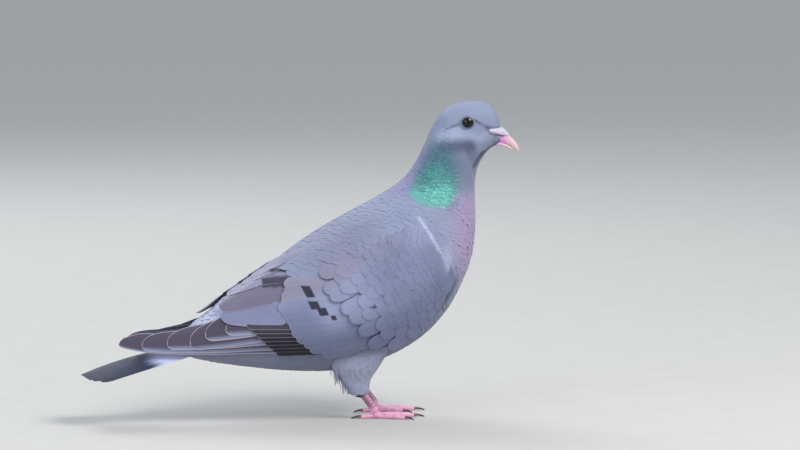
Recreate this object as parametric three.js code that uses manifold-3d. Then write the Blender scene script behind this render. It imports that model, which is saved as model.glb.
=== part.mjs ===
// A life-size stock dove (Columba oenas) standing still, its head held high and turned a little to its right.
// Millimetres. +X is forward along the trunk, +Y is the bird's left, +Z is up and the floor is Z = 0.
// The bird is drawn first about its leg line (X = 0 at the hips) and then moved so that the origin is the
// middle of the box it fills, at floor level.
//
// Head, neck, trunk and rump are one loft, parted by three thin cuts. Each folded wing is a curved shell that
// lies on the trunk, parted into its covert, secondary and primary feathers. The tail is one closed fan, stepped
// where each feather covers the next.

import * as THREE from 'three';
import { ParametricGeometry } from 'three/addons/geometries/ParametricGeometry.js';
import { mergeVertices } from 'three/addons/utils/BufferGeometryUtils.js';
import Module from 'manifold-3d';

const wasm = await Module();
wasm.setup();

// ---- driving dimensions -------------------------------------------------------------------------------

const BOX_MIDDLE_X = - 43.1; // middle of the bird's length, in the drawing's own X
const GAP = 0.3; // clearance kept between neighbouring pieces
const CUT = 0.4; // width of the thin cuts that part the body
const HEAD_TURN = THREE.MathUtils.degToRad( 15 ); // the head looks this far to the bird's right
const NECK_AXIS_X = 48; // the upright line that the neck turns about

const EYE = { x: 67.6, z: 187.6, out: 10.2, radius: 5, flatness: 0.8 }; // a ball, a little flattened

const SIDES = { right: - 1, left: 1 };

// ---- small tools --------------------------------------------------------------------------------------

const smoothStep = ( x, low, high ) => THREE.MathUtils.smoothstep( x, low, high );

// A smooth curve through rows of numbers. Rows are spaced evenly and t runs from 0 to 1 over all of them.
function through( rows ) {

	const last = rows.length - 1;
	return ( t ) => {

		const place = THREE.MathUtils.clamp( t, 0, 1 ) * last;
		const i = Math.min( Math.floor( place ), last - 1 );
		const f = place - i;
		return rows[ i ].map( ( _, k ) => {

			const before = rows[ Math.max( i - 1, 0 ) ][ k ];
			const a = rows[ i ][ k ];
			const b = rows[ i + 1 ][ k ];
			const after = rows[ Math.min( i + 2, last ) ][ k ];
			const slopeA = ( b - before ) / 2;
			const slopeB = ( after - a ) / 2;
			return a + f * ( slopeA + f * ( 3 * ( b - a ) - 2 * slopeA - slopeB + f * ( 2 * ( a - b ) + slopeA + slopeB ) ) );

		} );

	};

}

// A closed three.js geometry as a manifold solid, with shared vertices merged and collapsed triangles dropped.
function solid( geometry ) {

	const bare = geometry.clone();
	bare.deleteAttribute( 'normal' );
	bare.deleteAttribute( 'uv' );
	const merged = mergeVertices( bare, 1e-3 );
	const index = merged.index.array;
	const triangles = [];
	for ( let i = 0; i < index.length; i += 3 ) {

		const [ a, b, c ] = [ index[ i ], index[ i + 1 ], index[ i + 2 ] ];
		if ( a !== b && b !== c && a !== c ) triangles.push( a, b, c );

	}

	const made = ( list ) => new wasm.Manifold( new wasm.Mesh( {
		numProp: 3,
		vertProperties: new Float32Array( merged.attributes.position.array ),
		triVerts: new Uint32Array( list ),
	} ) );
	const first = made( triangles );
	return first.volume() > 0 ? first : made( triangles.reverse() );

}

const parametric = ( shape, around, along ) => solid( new ParametricGeometry( shape, around, along ) );

// The largest separate body of a solid, without the slivers that a cut can leave.
function largest( made ) {

	return made.decompose().sort( ( a, b ) => b.volume() - a.volume() )[ 0 ];

}

// A tube along a path, whose radius may change. It closes to a point at both ends.
function tube( path, radius, around, along, flatten = 1 ) {

	const ahead = new THREE.Vector3();
	const side = new THREE.Vector3();
	const up = new THREE.Vector3();
	return parametric( ( u, v, target ) => {

		const here = path( v );
		ahead.copy( path( Math.min( v + 0.01, 1 ) ) ).sub( path( Math.max( v - 0.01, 0 ) ) ).normalize();
		side.set( 0, 0, 1 ).cross( ahead ).normalize();
		up.copy( ahead ).cross( side );
		const angle = 2 * Math.PI * u;
		const r = radius( v ) * Math.min( 1, Math.sqrt( 8 * v ), Math.sqrt( 8 * ( 1 - v ) ) );
		target.copy( here )
			.addScaledVector( side, r * Math.cos( angle ) )
			.addScaledVector( up, r * flatten * Math.sin( angle ) );

	}, around, along );

}

const box = ( size, centre, tilt = 0 ) => solid( new THREE.BoxGeometry( ...size )
	.rotateY( tilt ).translate( ...centre ) );

const everythingAboveFloor = box( [ 400, 400, 400 ], [ 0, 0, 200 ] );

// ---- head, neck and trunk: one loft -------------------------------------------------------------------

// Each row is one section: the top of the outline (x, z), its bottom (x, z), the half width, and how far
// above the section's middle its widest place lies, as a share of its half height.
const BODY_ROWS = [
	[ 88.4, 179.5, 88.4, 179.5, 0.0, 0.0 ], // where the bill grows out of the face
	[ 88.6, 184.6, 87.4, 173.6, 4.9, 0.0 ],
	[ 87.5, 190.2, 84.0, 172.4, 8.1, 0.1 ],
	[ 85.0, 195.6, 80.4, 169.6, 10.2, 0.15 ],
	[ 79.6, 200.2, 77.2, 165.6, 11.9, 0.2 ],
	[ 71.6, 201.5, 74.6, 160.8, 12.9, 0.26 ], // through the eye
	[ 61.4, 200.1, 72.8, 154.8, 13.4, 0.25 ],
	[ 51.8, 195.4, 72.1, 148.2, 13.6, 0.2 ],
	[ 44.9, 185.6, 72.1, 140.6, 14.4, 0.1 ], // nape
	[ 39.4, 173.4, 72.4, 132.4, 16.4, 0.0 ],
	[ 33.2, 161.4, 72.5, 123.6, 20.2, 0.0 ],
	[ 24.2, 150.6, 71.8, 113.2, 26.0, 0.0 ],
	[ 10.0, 141.6, 69.6, 101.0, 32.6, 0.0 ], // shoulders
	[ - 8.0, 132.4, 63.6, 85.6, 37.4, 0.02 ],
	[ - 27.0, 122.4, 53.0, 67.0, 40.6, 0.04 ],
	[ - 45.0, 111.2, 36.0, 50.0, 41.4, 0.06 ],
	[ - 61.0, 98.6, 12.0, 37.4, 39.2, 0.08 ],
	[ - 74.0, 86.6, - 18.0, 30.4, 34.6, 0.1 ],
	[ - 86.0, 75.8, - 48.0, 30.6, 28.6, 0.1 ],
	[ - 98.0, 67.6, - 76.0, 33.8, 22.6, 0.08 ],
	[ - 110.0, 61.6, - 100.0, 37.6, 16.6, 0.05 ], // tail coverts
	[ - 120.0, 56.4, - 117.0, 42.2, 10.0, 0.0 ],
	[ - 126.0, 49.4, - 126.0, 49.4, 0.0, 0.0 ],
];
const bodySection = through( BODY_ROWS );
const NECK_START = 6 / 22; // rows up to here turn fully with the head
const NECK_END = 13 / 22; // rows from here on stay in line with the trunk

// Turns a point about the neck's upright axis by its share of the head's turn.
function turned( point, share ) {

	const angle = - HEAD_TURN * share;
	const x = point.x - NECK_AXIS_X;
	const y = point.y;
	point.x = NECK_AXIS_X + x * Math.cos( angle ) - y * Math.sin( angle );
	point.y = x * Math.sin( angle ) + y * Math.cos( angle );
	return point;

}

// A point on the body. along runs from the bill to the tail, and angle from the top of a section round it.
function bodyPoint( along, angle, swell, target ) {

	const [ topX, topZ, bottomX, bottomZ, halfWidth, rise ] = bodySection( along );
	const halfX = ( topX - bottomX ) / 2;
	const halfZ = ( topZ - bottomZ ) / 2;
	const half = Math.hypot( halfX, halfZ );
	const grow = half > 0 ? 1 + swell * Math.min( 1, half / 3 ) / half : 0;
	const wide = Math.sin( angle );
	const high = ( Math.cos( angle ) + rise * wide * wide ) * grow;
	target.set(
		( topX + bottomX ) / 2 + halfX * high,
		( halfWidth + swell * Math.min( 1, halfWidth / 3 ) ) * wide,
		( topZ + bottomZ ) / 2 + halfZ * high,
	);
	return turned( target, 1 - smoothStep( along, NECK_START, NECK_END ) );

}

// Half the trunk's width where its side outline holds the point (x, z), and 0 outside that outline.
function flank( x, z ) {

	let front = 10 / 22;
	let back = 1;
	for ( let i = 0; i < 24; i ++ ) {

		const middle = ( front + back ) / 2;
		const [ topX, topZ, bottomX, bottomZ ] = bodySection( middle );
		const ahead = ( x - bottomX ) * ( topZ - bottomZ ) - ( z - bottomZ ) * ( topX - bottomX );
		if ( ahead > 0 ) back = middle;
		else front = middle;

	}

	const [ topX, topZ, bottomX, bottomZ, halfWidth, rise ] = bodySection( front );
	const halfX = ( topX - bottomX ) / 2;
	const halfZ = ( topZ - bottomZ ) / 2;
	const high = ( ( x - bottomX - halfX ) * halfX + ( z - bottomZ - halfZ ) * halfZ )
		/ ( halfX * halfX + halfZ * halfZ );
	// high = cos + rise * sin * sin, solved for cos
	const cos = rise > 0 ? ( 1 - Math.sqrt( Math.max( 0, 1 - 4 * rise * ( high - rise ) ) ) ) / ( 2 * rise ) : high;
	return halfWidth * Math.sqrt( Math.max( 0, 1 - cos * cos ) );

}

const bodyLoft = ( swell, around, along ) =>
	parametric( ( u, v, target ) => bodyPoint( v, 2 * Math.PI * u, swell, target ), around, along );

const body = bodyLoft( 0, 24, 38 );
const bodyWithClearance = bodyLoft( GAP, 24, 38 );

// ---- eyes ---------------------------------------------------------------------------------------------

// A slightly flattened ball whose outer face stands a little out of the side of the head.
function eyeball( side, radius ) {

	const centre = turned( new THREE.Vector3( EYE.x, side * EYE.out, EYE.z ), 1 );
	return solid( new THREE.SphereGeometry( radius, 12, 7 ).scale( 1, EYE.flatness, 1 )
		.rotateZ( - HEAD_TURN ).translate( ...centre ) );

}

// ---- bill and cere ------------------------------------------------------------------------------------

// Rows: top of the outline (x, z), bottom (x, z), half width.
const UPPER_BILL_ROWS = [
	[ 84.0, 179.4, 84.0, 179.4, 0.0 ],
	[ 85.4, 184.0, 84.8, 175.8, 3.6 ],
	[ 90.2, 182.7, 88.6, 174.8, 3.3 ],
	[ 94.0, 179.4, 92.0, 173.6, 2.8 ],
	[ 97.4, 176.2, 95.4, 171.6, 2.2 ],
	[ 99.8, 172.4, 98.2, 169.6, 1.3 ],
	[ 100.4, 168.6, 100.2, 168.4, 0.0 ],
];
const LOWER_BILL_ROWS = [
	[ 83.6, 175.0, 83.6, 175.0, 0.0 ],
	[ 84.6, 175.6, 84.4, 173.0, 2.9 ],
	[ 88.4, 174.4, 87.8, 172.6, 2.7 ],
	[ 92.0, 173.1, 91.2, 171.6, 2.2 ],
	[ 95.4, 171.1, 94.8, 169.9, 1.5 ],
	[ 97.6, 169.5, 97.6, 169.5, 0.0 ],
];
const CERE_ROWS = [
	[ 83.4, 186.2, 83.8, 185.2, 0.0 ],
	[ 85.6, 186.8, 86.0, 181.6, 4.0 ],
	[ 89.0, 185.2, 88.0, 180.0, 4.3 ],
	[ 92.0, 182.5, 90.6, 178.7, 3.6 ],
	[ 94.4, 179.2, 94.0, 178.8, 0.0 ],
];

function billLoft( rows, swell, around, along ) {

	const section = through( rows );
	return parametric( ( u, v, target ) => {

		const [ topX, topZ, bottomX, bottomZ, halfWidth ] = section( v );
		const angle = 2 * Math.PI * u;
		const half = Math.hypot( topX - bottomX, topZ - bottomZ ) / 2;
		const grow = half > 0 ? 1 + swell * Math.min( 1, half ) / half : 0;
		const high = Math.cos( angle ) * grow;
		target.set(
			( topX + bottomX + ( topX - bottomX ) * high ) / 2,
			( halfWidth + swell * Math.min( 1, halfWidth ) ) * Math.sin( angle ),
			( topZ + bottomZ + ( topZ - bottomZ ) * high ) / 2,
		);
		turned( target, 1 );

	}, around, along );

}

// ---- folded wings -------------------------------------------------------------------------------------

// Each row is a line up the wing's outer face: its lower end (x, out, z), how far out its middle lies, and
// its upper end (x, out, z). The first row is the wing's front edge and the last its tip. Where the wing
// lies on the trunk it keeps at least its cover above the flank.
const WING_ROWS = [
	[ 50.6, 34.0, 93.0, 36.0, 35.0, 24.0, 126.0 ],
	[ 43.0, 40.0, 79.6, 42.0, 24.0, 19.0, 137.0 ],
	[ 32.0, 43.0, 67.8, 45.4, 7.0, 15.6, 135.6 ],
	[ 17.0, 44.0, 56.4, 46.6, - 11.0, 13.6, 127.2 ],
	[ 0.0, 43.4, 48.8, 46.4, - 28.0, 12.6, 117.6 ],
	[ - 18.0, 41.6, 44.2, 44.6, - 45.0, 12.0, 107.0 ],
	[ - 38.0, 38.6, 43.0, 41.2, - 61.0, 12.0, 98.0 ],
	[ - 58.0, 35.0, 43.0, 37.0, - 76.0, 12.4, 88.8 ],
	[ - 80.0, 30.6, 43.2, 31.6, - 92.0, 12.6, 78.6 ],
	[ - 103.0, 25.4, 43.6, 24.6, - 108.0, 10.4, 68.2 ],
	[ - 127.0, 19.6, 44.6, 17.6, - 127.0, 7.6, 61.6 ],
	[ - 149.0, 14.0, 46.8, 11.4, - 146.0, 5.0, 58.0 ],
	[ - 165.4, 7.4, 50.0, 6.6, - 164.4, 4.6, 52.4 ],
];
const wingLine = through( WING_ROWS );
const WING = {
	middle: 7.0, // thickness over the coverts
	tip: 1.4, // thickness of the primaries
	cover: 4.4, // how far the folded wing stands off the flank
	upperCover: 1.6, // the same at its upper edge
	tuck: 4.0, // how much nearer the middle the left wing's tip lies than the right one's
};

// A point on a wing's outer face. u runs from the bend to the tip, v from the lower edge to the upper.
function wingFace( u, v, side, target ) {

	const [ lowX, lowOut, lowZ, middleOut, highX, highOut, highZ ] = wingLine( u );
	const x = lowX + ( highX - lowX ) * v;
	const z = lowZ + ( highZ - lowZ ) * v;
	const bulge = middleOut - ( lowOut + highOut ) / 2;
	const tuck = side > 0 ? WING.tuck * smoothStep( u, 0.75, 1 ) : 0;
	const free = lowOut + ( highOut - lowOut ) * v + 4 * bulge * v * ( 1 - v ) - tuck;
	const rim = Math.min( 1, u / 0.06 ) * Math.min( 1, 4 * ( 1 - v ) );
	const resting = flank( x, z ) + WING.upperCover + ( WING.cover - WING.upperCover ) * rim;
	return target.set( x, side * ( free + resting + Math.hypot( free - resting, 2 ) ) / 2, z );

}

// How thick the shell is at (u, v): full over the coverts, thin behind, and rounded off along every edge.
function wingThickness( u, v ) {

	const full = THREE.MathUtils.lerp( WING.middle, WING.tip, smoothStep( u, 0.35, 0.85 ) );
	const roundEnds = Math.min( 1, Math.sqrt( Math.max( 0, Math.min( u, 1 - u ) ) / 0.03 ) );
	const roundEdges = Math.min( 1, Math.sqrt( 10 * v * ( 1 - v ) ) );
	return full * roundEnds * roundEdges;

}

// A wing as a closed shell: up the face from its lower edge, then down its inner side.
function wingShell( side, around, along ) {

	const alongU = new THREE.Vector3();
	const alongV = new THREE.Vector3();
	return parametric( ( turn, u, target ) => {

		const v = turn < 0.5 ? 2 * turn : 2 - 2 * turn;
		const step = 0.004;
		wingFace( Math.min( u + step, 1 ), v, side, alongU ).sub( wingFace( Math.max( u - step, 0 ), v, side, target ) );
		wingFace( u, Math.min( v + step, 1 ), side, alongV ).sub( wingFace( u, Math.max( v - step, 0 ), side, target ) );
		const inward = alongU.cross( alongV ).normalize();
		if ( inward.y * side > 0 ) inward.negate();
		wingFace( u, v, side, target ).addScaledVector( inward, turn < 0.5 ? 0 : wingThickness( u, v ) );

	}, around, along );

}

// ---- tail ---------------------------------------------------------------------------------------------

const TAIL = {
	feathers: 12,
	root: [ - 96, 56 ], // x and z where the feathers leave the body
	tip: [ - 184.8, 31.6 ], // x and z of the middle pair's tips
	bow: 3.6, // how far the fan bows up between root and tip
	rootHalf: 20, // half the width of the closed fan at its root
	tipHalf: 24, // the same at the tip
	rootDroop: 9.6, // how far the fan's sides lie below its middle at the root
	tipDroop: 3.6, // the same at the tip
	thickness: 3.2, // of the stacked feathers in the middle
	edge: 1.2, // of the outermost feather
	step: 0.5, // how far each feather's outer edge lies under the one that covers it
	shorter: 4, // how much shorter the outermost feathers are
	corner: 11, // how far the fan's end is rounded back at its corners
	tipRound: 1.2, // how far each feather's tip is rounded back at its sides
};

// The closed tail: a thin arched fan, the middle feathers on top and each one further out stepped under it.
function tailFan( along ) {

	const perFeather = 3;
	const columns = TAIL.feathers * perFeather;
	const length = Math.hypot( TAIL.tip[ 0 ] - TAIL.root[ 0 ], TAIL.tip[ 1 ] - TAIL.root[ 1 ] );
	return parametric( ( turn, t, target ) => {

		const onTop = turn < 0.5;
		const share = onTop ? 2 * turn : 2 - 2 * turn;
		const column = Math.round( share * columns );
		const across = 2 * share - 1;
		const off = Math.abs( across );
		const within = ( column % perFeather ) / ( perFeather - 1 ) * 2 - 1; // -1 to 1 over one feather
		const corner = Math.max( 0, ( off - 0.5 ) / 0.5 );
		const cut = TAIL.shorter * off * off + TAIL.corner * ( 1 - Math.sqrt( 1 - corner * corner ) )
			+ TAIL.tipRound * Math.min( 1, Math.abs( within ) );
		const reach = t * ( 1 - cut / length );
		const half = THREE.MathUtils.lerp( TAIL.rootHalf, TAIL.tipHalf, smoothStep( reach, 0, 1 ) );
		const droop = THREE.MathUtils.lerp( TAIL.rootDroop, TAIL.tipDroop, reach ** 3 ) * off * off;
		const bow = TAIL.bow * 4 * reach * reach * ( 1 - reach );
		const under = TAIL.step * ( ( off * TAIL.feathers / 2 ) % 1 );
		const thickness = THREE.MathUtils.lerp( TAIL.thickness, TAIL.edge, off )
			* Math.min( 1, t / 0.05, ( 1 - t ) / 0.03, Math.sqrt( 12 * ( 1 - off ) ) );
		target.set(
			THREE.MathUtils.lerp( TAIL.root[ 0 ], TAIL.tip[ 0 ], reach ),
			across * half,
			THREE.MathUtils.lerp( TAIL.root[ 1 ], TAIL.tip[ 1 ], reach ) + bow - droop
				- ( onTop ? under * Math.min( 1, 8 * t, 8 * ( 1 - t ), 8 * ( 1 - off ) ) : thickness ),
		);

	}, 2 * columns, along );

}

// ---- legs and feet ------------------------------------------------------------------------------------

const LEG = {
	out: 17, // each leg stands this far from the middle
	ahead: { right: 0, left: 9 }, // how far each foot is set forward
	ankle: [ - 9.0, 15.0 ], // x and z of the end of the feathering
	heel: [ - 9.6, 21.0 ],
	foot: [ 3.2, 3.8 ],
	shank: 2.3, // radius of the bare tarsus
	ball: 3.0, // radius of the pad where the toes meet
};
// Each toe: how far it turns inward from straight ahead, its length, its radius at the root, and its claw's length.
const TOES = {
	middle: { turn: 2, length: 25, radius: 1.9, claw: 6.4 },
	inner: { turn: 36, length: 18.5, radius: 1.7, claw: 5.6 },
	outer: { turn: - 34, length: 19.5, radius: 1.7, claw: 5.2 },
	hind: { turn: 172, length: 11.5, radius: 1.6, claw: 5.8 },
};

// The feathered thigh: a drumstick from inside the trunk down to where the bare leg starts.
function thigh( side, sideName ) {

	const ahead = LEG.ahead[ sideName ];
	const [ ankleX, ankleZ ] = LEG.ankle;
	const row = through( [ // x, z, radius fore and aft, radius sideways, distance out
		[ - 4 + ahead * 0.2, 58, 0, 0, LEG.out ],
		[ - 5 + ahead * 0.2, 54, 15, 11, LEG.out ],
		[ - 8 + ahead * 0.3, 44, 18, 14, LEG.out + 1 ],
		[ - 11 + ahead * 0.5, 34, 15.5, 11.5, LEG.out + 1 ],
		[ - 11 + ahead * 0.8, 25.5, 10.2, 8, LEG.out ],
		[ ankleX + ahead, 18.6, 7.0, 5.8, LEG.out ],
		[ ankleX + ahead, ankleZ + 1, 5.2, 4.6, LEG.out ],
		[ ankleX + 0.4 + ahead, ankleZ, 0, 0, LEG.out ],
	] );
	return parametric( ( turn, v, target ) => {

		const [ x, z, long, wide, out ] = row( v );
		const angle = 2 * Math.PI * turn;
		target.set( x + long * Math.cos( angle ), side * out + wide * Math.sin( angle ), z );

	}, 12, 8 );

}

// The bare tarsus with the pad under it.
function tarsus( side, sideName, swell ) {

	const ahead = LEG.ahead[ sideName ];
	const heel = new THREE.Vector3( LEG.heel[ 0 ] + ahead, side * LEG.out, LEG.heel[ 1 ] );
	const foot = new THREE.Vector3( LEG.foot[ 0 ] + ahead, side * LEG.out, LEG.foot[ 1 ] );
	const shank = tube(
		( t ) => heel.clone().lerp( foot, t ),
		( t ) => LEG.shank * ( 1.15 - 0.6 * t * ( 1 - t ) ) + swell,
		10, 5,
	);
	const pad = solid( new THREE.SphereGeometry( LEG.ball + swell, 12, 7 ).scale( 1.15, 1, 0.82 )
		.translate( foot.x + 0.6, foot.y, 2.2 ) );
	return shank.add( pad );

}

// A toe's middle line: low, with a slight arch at each joint.
function toePath( side, sideName, toe ) {

	const ahead = LEG.ahead[ sideName ];
	const angle = THREE.MathUtils.degToRad( toe.turn ) * - side;
	const way = new THREE.Vector3( Math.cos( angle ), Math.sin( angle ), 0 );
	const start = new THREE.Vector3( LEG.foot[ 0 ] + 0.6 + ahead, side * LEG.out, 0 );
	return ( t ) => start.clone().addScaledVector( way, toe.length * t )
		.setZ( toe.radius * ( 1 - 0.25 * t ) - 0.22 + 0.5 * Math.sin( Math.PI * t ) ** 2 );

}

function toeSolid( side, sideName, toe, swell ) {

	const bumps = toe.length / 6.5;
	return tube(
		toePath( side, sideName, toe ),
		( t ) => toe.radius * ( 1 - 0.25 * t ) * ( 1 + 0.09 * Math.cos( 2 * Math.PI * bumps * t ) ) + swell,
		8, 6,
	);

}

// A claw: it leaves the toe's end level, arches over, and its point comes down to the floor.
function clawSolid( side, sideName, toe, swell ) {

	const path = toePath( side, sideName, toe );
	const tip = path( 1 );
	const way = path( 1 ).sub( path( 0.8 ) ).setZ( 0 ).normalize();
	return tube(
		( t ) => tip.clone().addScaledVector( way, ( toe.claw + 1.4 ) * t - 1.4 ).setZ( 1.3 + 1.2 * t - 2.4 * t * t ),
		( t ) => 1.1 * ( 1 - 0.75 * t ) + swell,
		6, 5,
	);

}

// ---- materials ----------------------------------------------------------------------------------------

const paint = ( color, roughness ) => new THREE.MeshStandardMaterial( { color, roughness, metalness: 0 } );
const MATERIALS = {
	head: paint( 0x8f9bb8, 0.8 ),
	neck: paint( 0x6fb0a2, 0.6 ),
	trunk: paint( 0x9a9dbb, 0.8 ),
	rump: paint( 0xb4bacb, 0.8 ),
	coverts: paint( 0x8d93b0, 0.75 ),
	quills: paint( 0x5a5562, 0.7 ),
	tail: paint( 0x565c70, 0.7 ),
	bill: paint( 0xe8b7b4, 0.45 ),
	cere: paint( 0xeee9ee, 0.6 ),
	eye: paint( 0x14121a, 0.08 ),
	leg: paint( 0xd9819a, 0.6 ),
	claw: paint( 0x5b4a4a, 0.4 ),
};

// ---- the bird -----------------------------------------------------------------------------------------

const bird = new THREE.Group();

// Adds a solid to the bird as a named mesh.
function place( name, made, material ) {

	const mesh = made.getMesh();
	const geometry = new THREE.BufferGeometry()
		.setAttribute( 'position', new THREE.BufferAttribute( new Float32Array( mesh.vertProperties ), 3 ) )
		.setIndex( new THREE.BufferAttribute( new Uint32Array( mesh.triVerts ), 1 ) );
	geometry.computeVertexNormals();
	const node = new THREE.Mesh( geometry, material );
	node.name = name;
	bird.add( node );

}

// Body: cut across behind the jaw, at the foot of the neck, and again where the rump's long feathers start.
const jawCut = box( [ CUT, 80, 80 ], [ 60.5, 0, 173.5 ], THREE.MathUtils.degToRad( - 40 ) );
const neckCut = box( [ CUT, 120, 120 ], [ 49, 0, 134 ], THREE.MathUtils.degToRad( - 47 ) );
const eyeSockets = eyeball( - 1, EYE.radius + GAP ).add( eyeball( 1, EYE.radius + GAP ) );
const rumpCut = box( [ CUT, 120, 160 ], [ - 46, 0, 70 ], THREE.MathUtils.degToRad( - 10 ) );
const [ head, neck, trunk, rump ] = [ jawCut, neckCut, rumpCut, eyeSockets ]
	.reduce( ( left, cut ) => left.subtract( cut ), body )
	.decompose().filter( ( piece ) => piece.volume() > 500 )
	.sort( ( a, b ) => b.boundingBox().max[ 2 ] - a.boundingBox().max[ 2 ] );

place( 'head', head, MATERIALS.head );
place( 'neck', neck, MATERIALS.neck );
place( 'trunk', trunk, MATERIALS.trunk );
place( 'rump', rump, MATERIALS.rump );
for ( const [ sideName, side ] of Object.entries( SIDES ) ) {

	place( `eye_${ sideName }`, eyeball( side, EYE.radius ), MATERIALS.eye );

}

// Bill: the cere sits on the upper mandible, and the lower one closes against it.
const cere = billLoft( CERE_ROWS, 0, 10, 6 ).subtract( bodyWithClearance );
const cereWithClearance = billLoft( CERE_ROWS, GAP, 10, 6 );
const billUpper = billLoft( UPPER_BILL_ROWS, 0, 10, 9 ).subtract( bodyWithClearance ).subtract( cereWithClearance );
const billUpperWithClearance = billLoft( UPPER_BILL_ROWS, GAP, 10, 9 );
const billLower = billLoft( LOWER_BILL_ROWS, 0, 8, 6 ).subtract( bodyWithClearance )
	.subtract( billUpperWithClearance );
place( 'cere', largest( cere ), MATERIALS.cere );
place( 'bill_upper', largest( billUpper ), MATERIALS.bill );
place( 'bill_lower', largest( billLower ), MATERIALS.bill );

// Wings: cut into coverts, secondaries and primaries where each group of feathers shows.
const secondaryCut = box( [ CUT, 200, 200 ], [ - 38, 0, 72 ], THREE.MathUtils.degToRad( - 40 ) );
const primaryCut = box( [ CUT, 200, 200 ], [ - 80, 0, 53 ], THREE.MathUtils.degToRad( - 59 ) );
for ( const [ sideName, side ] of Object.entries( SIDES ) ) {

	const wing = largest( wingShell( side, 12, 22 ).subtract( bodyWithClearance ) );
	const pieces = wing.subtract( secondaryCut ).subtract( primaryCut )
		.decompose().filter( ( piece ) => piece.volume() > 500 )
		.sort( ( a, b ) => b.boundingBox().max[ 0 ] - a.boundingBox().max[ 0 ] );
	[ 'coverts', 'secondaries', 'primaries' ].forEach( ( group, i ) =>
		place( `wing_${ sideName }_${ group }`, pieces[ i ], i ? MATERIALS.quills : MATERIALS.coverts ) );

}

place( 'tail', largest( tailFan( 7 ).subtract( bodyWithClearance ) ), MATERIALS.tail );

// Legs.
let thighs = null;
for ( const [ sideName, side ] of Object.entries( SIDES ) ) {

	const leg = thigh( side, sideName );
	thighs = thighs ? thighs.add( leg ) : leg;
	const shin = tarsus( side, sideName, 0 );
	const shinWithClearance = tarsus( side, sideName, GAP );
	place( `thigh_${ sideName }`, largest( leg.subtract( bodyWithClearance ).subtract( shinWithClearance ) ), MATERIALS.trunk );
	place( `tarsus_${ sideName }`, largest( shin.intersect( everythingAboveFloor ) ), MATERIALS.leg );
	let taken = shinWithClearance;
	for ( const [ toeName, toe ] of Object.entries( TOES ) ) {

		const bare = toeSolid( side, sideName, toe, 0 ).subtract( taken ).intersect( everythingAboveFloor );
		const toeWithClearance = toeSolid( side, sideName, toe, GAP );
		const claw = clawSolid( side, sideName, toe, 0 ).subtract( toeWithClearance ).intersect( everythingAboveFloor );
		place( `toe_${ sideName }_${ toeName }`, largest( bare ), MATERIALS.leg );
		place( `claw_${ sideName }_${ toeName }`, largest( claw ), MATERIALS.claw );
		taken = taken.add( toeWithClearance );

	}

}

bird.position.x = - BOX_MIDDLE_X;

export default bird;
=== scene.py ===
"""A life-size stock dove, Columba oenas, standing still, with its head high and turned a little to its right.

The bird is drawn in millimetres about its leg line, as the CAD model is, and moved into the frame at the end.
One skin lies under the plumage. Every feather is a thin closed mesh that follows the lie of the coat: small
contour feathers on head, neck and trunk, rows of coverts on the wings, and long quills on wings and tail.
"""

import math

import bpy
import numpy as np
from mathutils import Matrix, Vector
from mathutils.kdtree import KDTree


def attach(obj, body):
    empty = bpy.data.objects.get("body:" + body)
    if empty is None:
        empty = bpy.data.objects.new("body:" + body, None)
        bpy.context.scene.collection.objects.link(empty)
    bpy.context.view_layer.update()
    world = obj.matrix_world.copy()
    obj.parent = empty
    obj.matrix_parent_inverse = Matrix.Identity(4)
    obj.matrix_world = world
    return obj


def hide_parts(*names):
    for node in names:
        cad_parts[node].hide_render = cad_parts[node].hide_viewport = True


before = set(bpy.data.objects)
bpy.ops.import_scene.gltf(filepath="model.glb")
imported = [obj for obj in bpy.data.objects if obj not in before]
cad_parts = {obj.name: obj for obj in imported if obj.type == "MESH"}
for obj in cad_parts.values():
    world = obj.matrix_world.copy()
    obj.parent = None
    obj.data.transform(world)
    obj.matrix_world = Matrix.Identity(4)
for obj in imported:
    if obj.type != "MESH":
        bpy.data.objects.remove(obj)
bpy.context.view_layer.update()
chance = np.random.default_rng(20)

PI = math.pi
BODY = "root"  # the model is still, so it is all one body
DRAWING_SHIFT = 43.1  # the drawing's leg line lies this far ahead of the frame's origin
SIDES = {"right": -1, "left": 1}


# ---- small tools ----------------------------------------------------------------------------------------


def to_frame(points):
    """Drawing millimetres to the frame's metres."""
    return (np.asarray(points, float) + (DRAWING_SHIFT, 0, 0)) / 1000


def smooth(x, low, high):
    share = np.clip((np.asarray(x, float) - low) / (high - low), 0, 1)
    return share * share * (3 - 2 * share)


def mix(a, b, share):
    return a + (b - a) * share


def unit(vectors):
    return vectors / np.maximum(np.linalg.norm(vectors, axis=-1, keepdims=True), 1e-9)


def grid_of(first, second):
    """Two arrays with every pairing of two lists of values."""
    return np.meshgrid(first, second, indexing="ij")


def circle(count):
    """Angles evenly round a circle."""
    return np.linspace(0, 2 * PI, count, endpoint=False)


def each(values):
    """One value a feather, shaped to spread over the feather's rings and their points."""
    return values[:, None, None]


def tree_of(points):
    """A search tree for the nearest of many points."""
    tree = KDTree(len(points))
    for number, point in enumerate(points):
        tree.insert(point, number)
    tree.balance()
    return tree


def colour(red, green, blue):
    """A colour given in the usual 0 to 255 steps, as linear light."""
    steps = np.array([red, green, blue]) / 255
    return np.where(steps <= 0.04045, steps / 12.92, ((steps + 0.055) / 1.055) ** 2.4)


def through(rows):
    """A smooth curve through evenly spaced rows of numbers, for t from 0 to 1."""
    rows = np.array(rows, float)
    last = len(rows) - 1

    def at(t):
        place = np.clip(np.asarray(t, float), 0, 1) * last
        i = np.minimum(place.astype(int), last - 1)
        f = (place - i)[..., None]
        before, a, b, after = (rows[np.clip(i + k, 0, last)] for k in (-1, 0, 1, 2))
        slope_a, slope_b = (b - before) / 2, (after - a) / 2
        squared = 3 * (b - a) - 2 * slope_a - slope_b
        cubed = 2 * (a - b) + slope_a + slope_b
        return a + f * (slope_a + f * (squared + f * cubed))

    return at


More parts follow.
